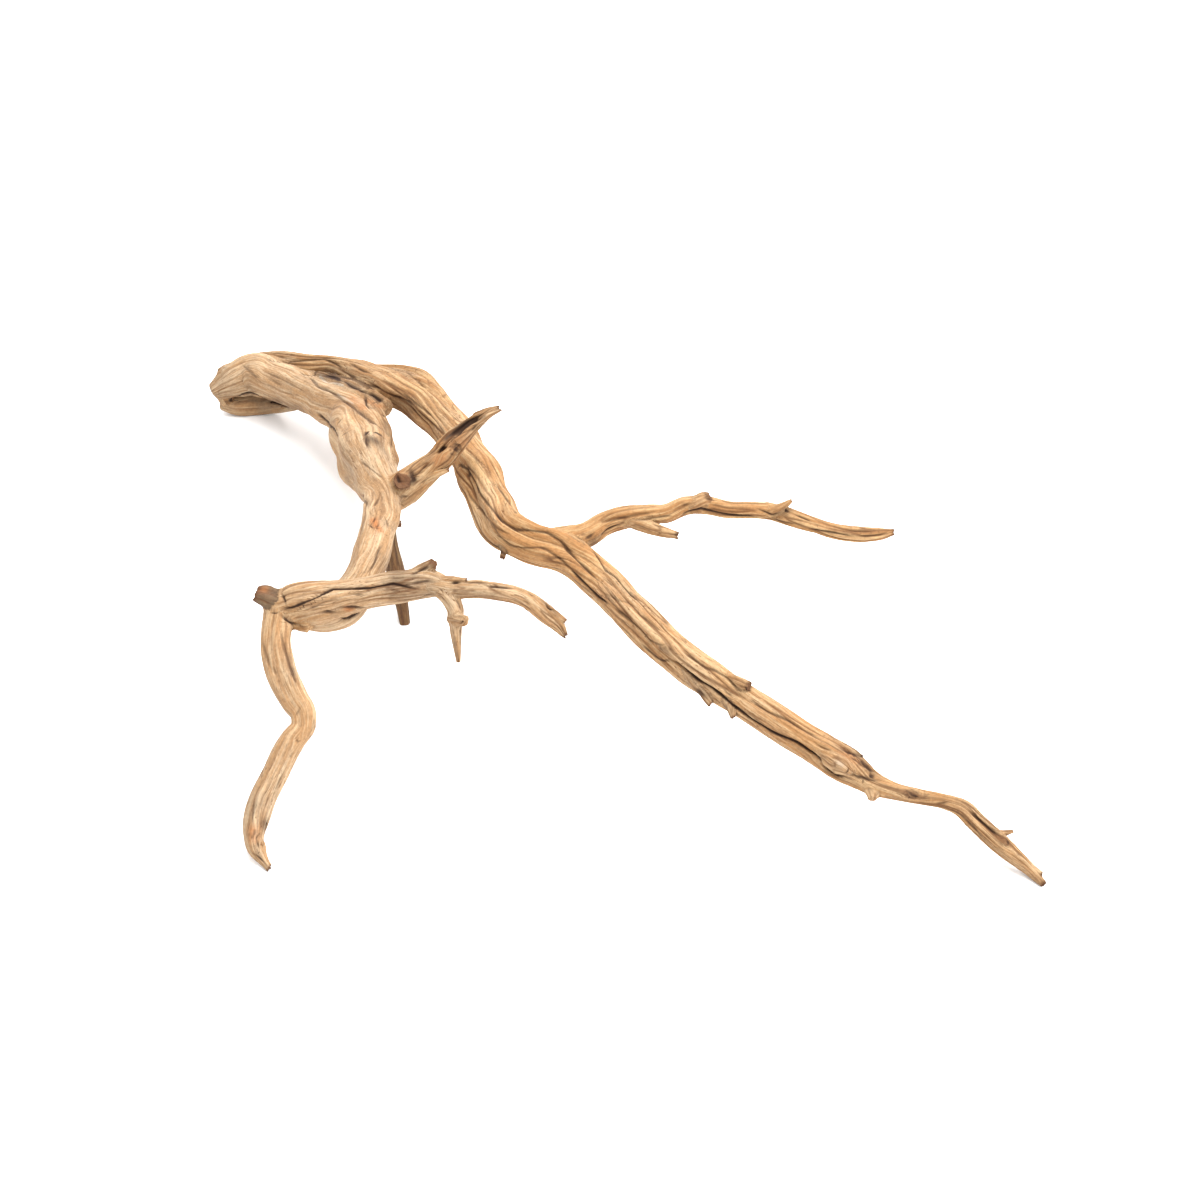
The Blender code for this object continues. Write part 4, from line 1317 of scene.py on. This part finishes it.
# Knot pits and rim grooves are darkened as painted shade; the thin rings are the knots' own colour
colour = mix(tree, fit(tree, mark("dark"), 0.06, 0.9, 0.0, 0.92), colour, CRACK)
tree.links.new(colour, shader.inputs["Base Color"])

tree.links.new(fit(tree, streaks, 0.3, 0.7, ROUGHNESS - 0.10, ROUGHNESS + 0.08), shader.inputs["Roughness"])
shader.inputs["Specular IOR Level"].default_value = 0.28

bump_height = calc(tree, "ADD", calc(tree, "MULTIPLY", fibres, 0.5), streaks)
bump_height = calc(tree, "ADD", bump_height, calc(tree, "MULTIPLY", specks, 0.35))
bump_height = calc(tree, "SUBTRACT", bump_height, calc(tree, "MULTIPLY", hairline_share, 0.5))
bump = add_node(tree, "ShaderNodeBump")
bump.inputs["Strength"].default_value = 0.6
bump.inputs["Distance"].default_value = 0.0008
tree.links.new(bump_height, bump.inputs["Height"])
tree.links.new(bump.outputs["Normal"], shader.inputs["Normal"])
fused.materials.clear()
fused.materials.append(wood)
print("nodes in the wood finish:", len(tree.nodes))

# %% [markdown]
# ## Table and light
#
# The photograph is a studio picture on white. A pale table and three large soft lights give the
# same mild shading, brightest from above and a little from the right, with only a faint shadow.

# %% Table
TABLE_SIDE = 12.0
TABLE_GAP = 0.0003
half = TABLE_SIDE / 2
table_mesh = bpy.data.meshes.new("table_top")
table_mesh.from_pydata([(-half, -half, -TABLE_GAP), (half, -half, -TABLE_GAP), (half, half, -TABLE_GAP),
                        (-half, half, -TABLE_GAP)], [], [(0, 1, 2, 3)])
table = bpy.data.objects.new("table_top", table_mesh)
bpy.context.scene.collection.objects.link(table)
paper = bpy.data.materials.new("white_paper")
paper.use_nodes = True
paper.node_tree.nodes["Principled BSDF"].inputs["Base Color"].default_value = (0.95, 0.95, 0.95, 1.0)
paper.node_tree.nodes["Principled BSDF"].inputs["Roughness"].default_value = 0.9
table_mesh.materials.append(paper)


# %% Lights
def soft_light(name, place, aim, side, power):
    """A square area light at a place, turned towards a point."""
    lamp = bpy.data.lights.new(name, "AREA")
    lamp.shape = "SQUARE"
    lamp.size = side
    lamp.energy = power
    light = bpy.data.objects.new(name, lamp)
    light.location = place
    direction = np.array(aim, float) - np.array(place, float)
    flat = math.hypot(direction[0], direction[1])
    turn = math.atan2(direction[1], direction[0]) - math.pi / 2
    light.rotation_euler = (math.atan2(flat, -direction[2]), 0.0, turn)
    bpy.context.scene.collection.objects.link(light)
    return light


soft_light("key_light", (0.8, 0.3, 2.9), (0, 0, 0), 3.4, 228.0)
soft_light("fill_light", (1.6, -2.0, 1.6), (0, 0, 0), 2.6, 48.0)
soft_light("back_light", (0.6, 2.0, 2.0), (0, 0, 0), 2.2, 30.0)
world = bpy.data.worlds.new("studio")
bpy.context.scene.world = world
world.use_nodes = True
world.node_tree.nodes["Background"].inputs["Color"].default_value = (1.0, 1.0, 1.0, 1.0)
world.node_tree.nodes["Background"].inputs["Strength"].default_value = 1.18
bpy.context.scene.view_settings.view_transform = "Standard"
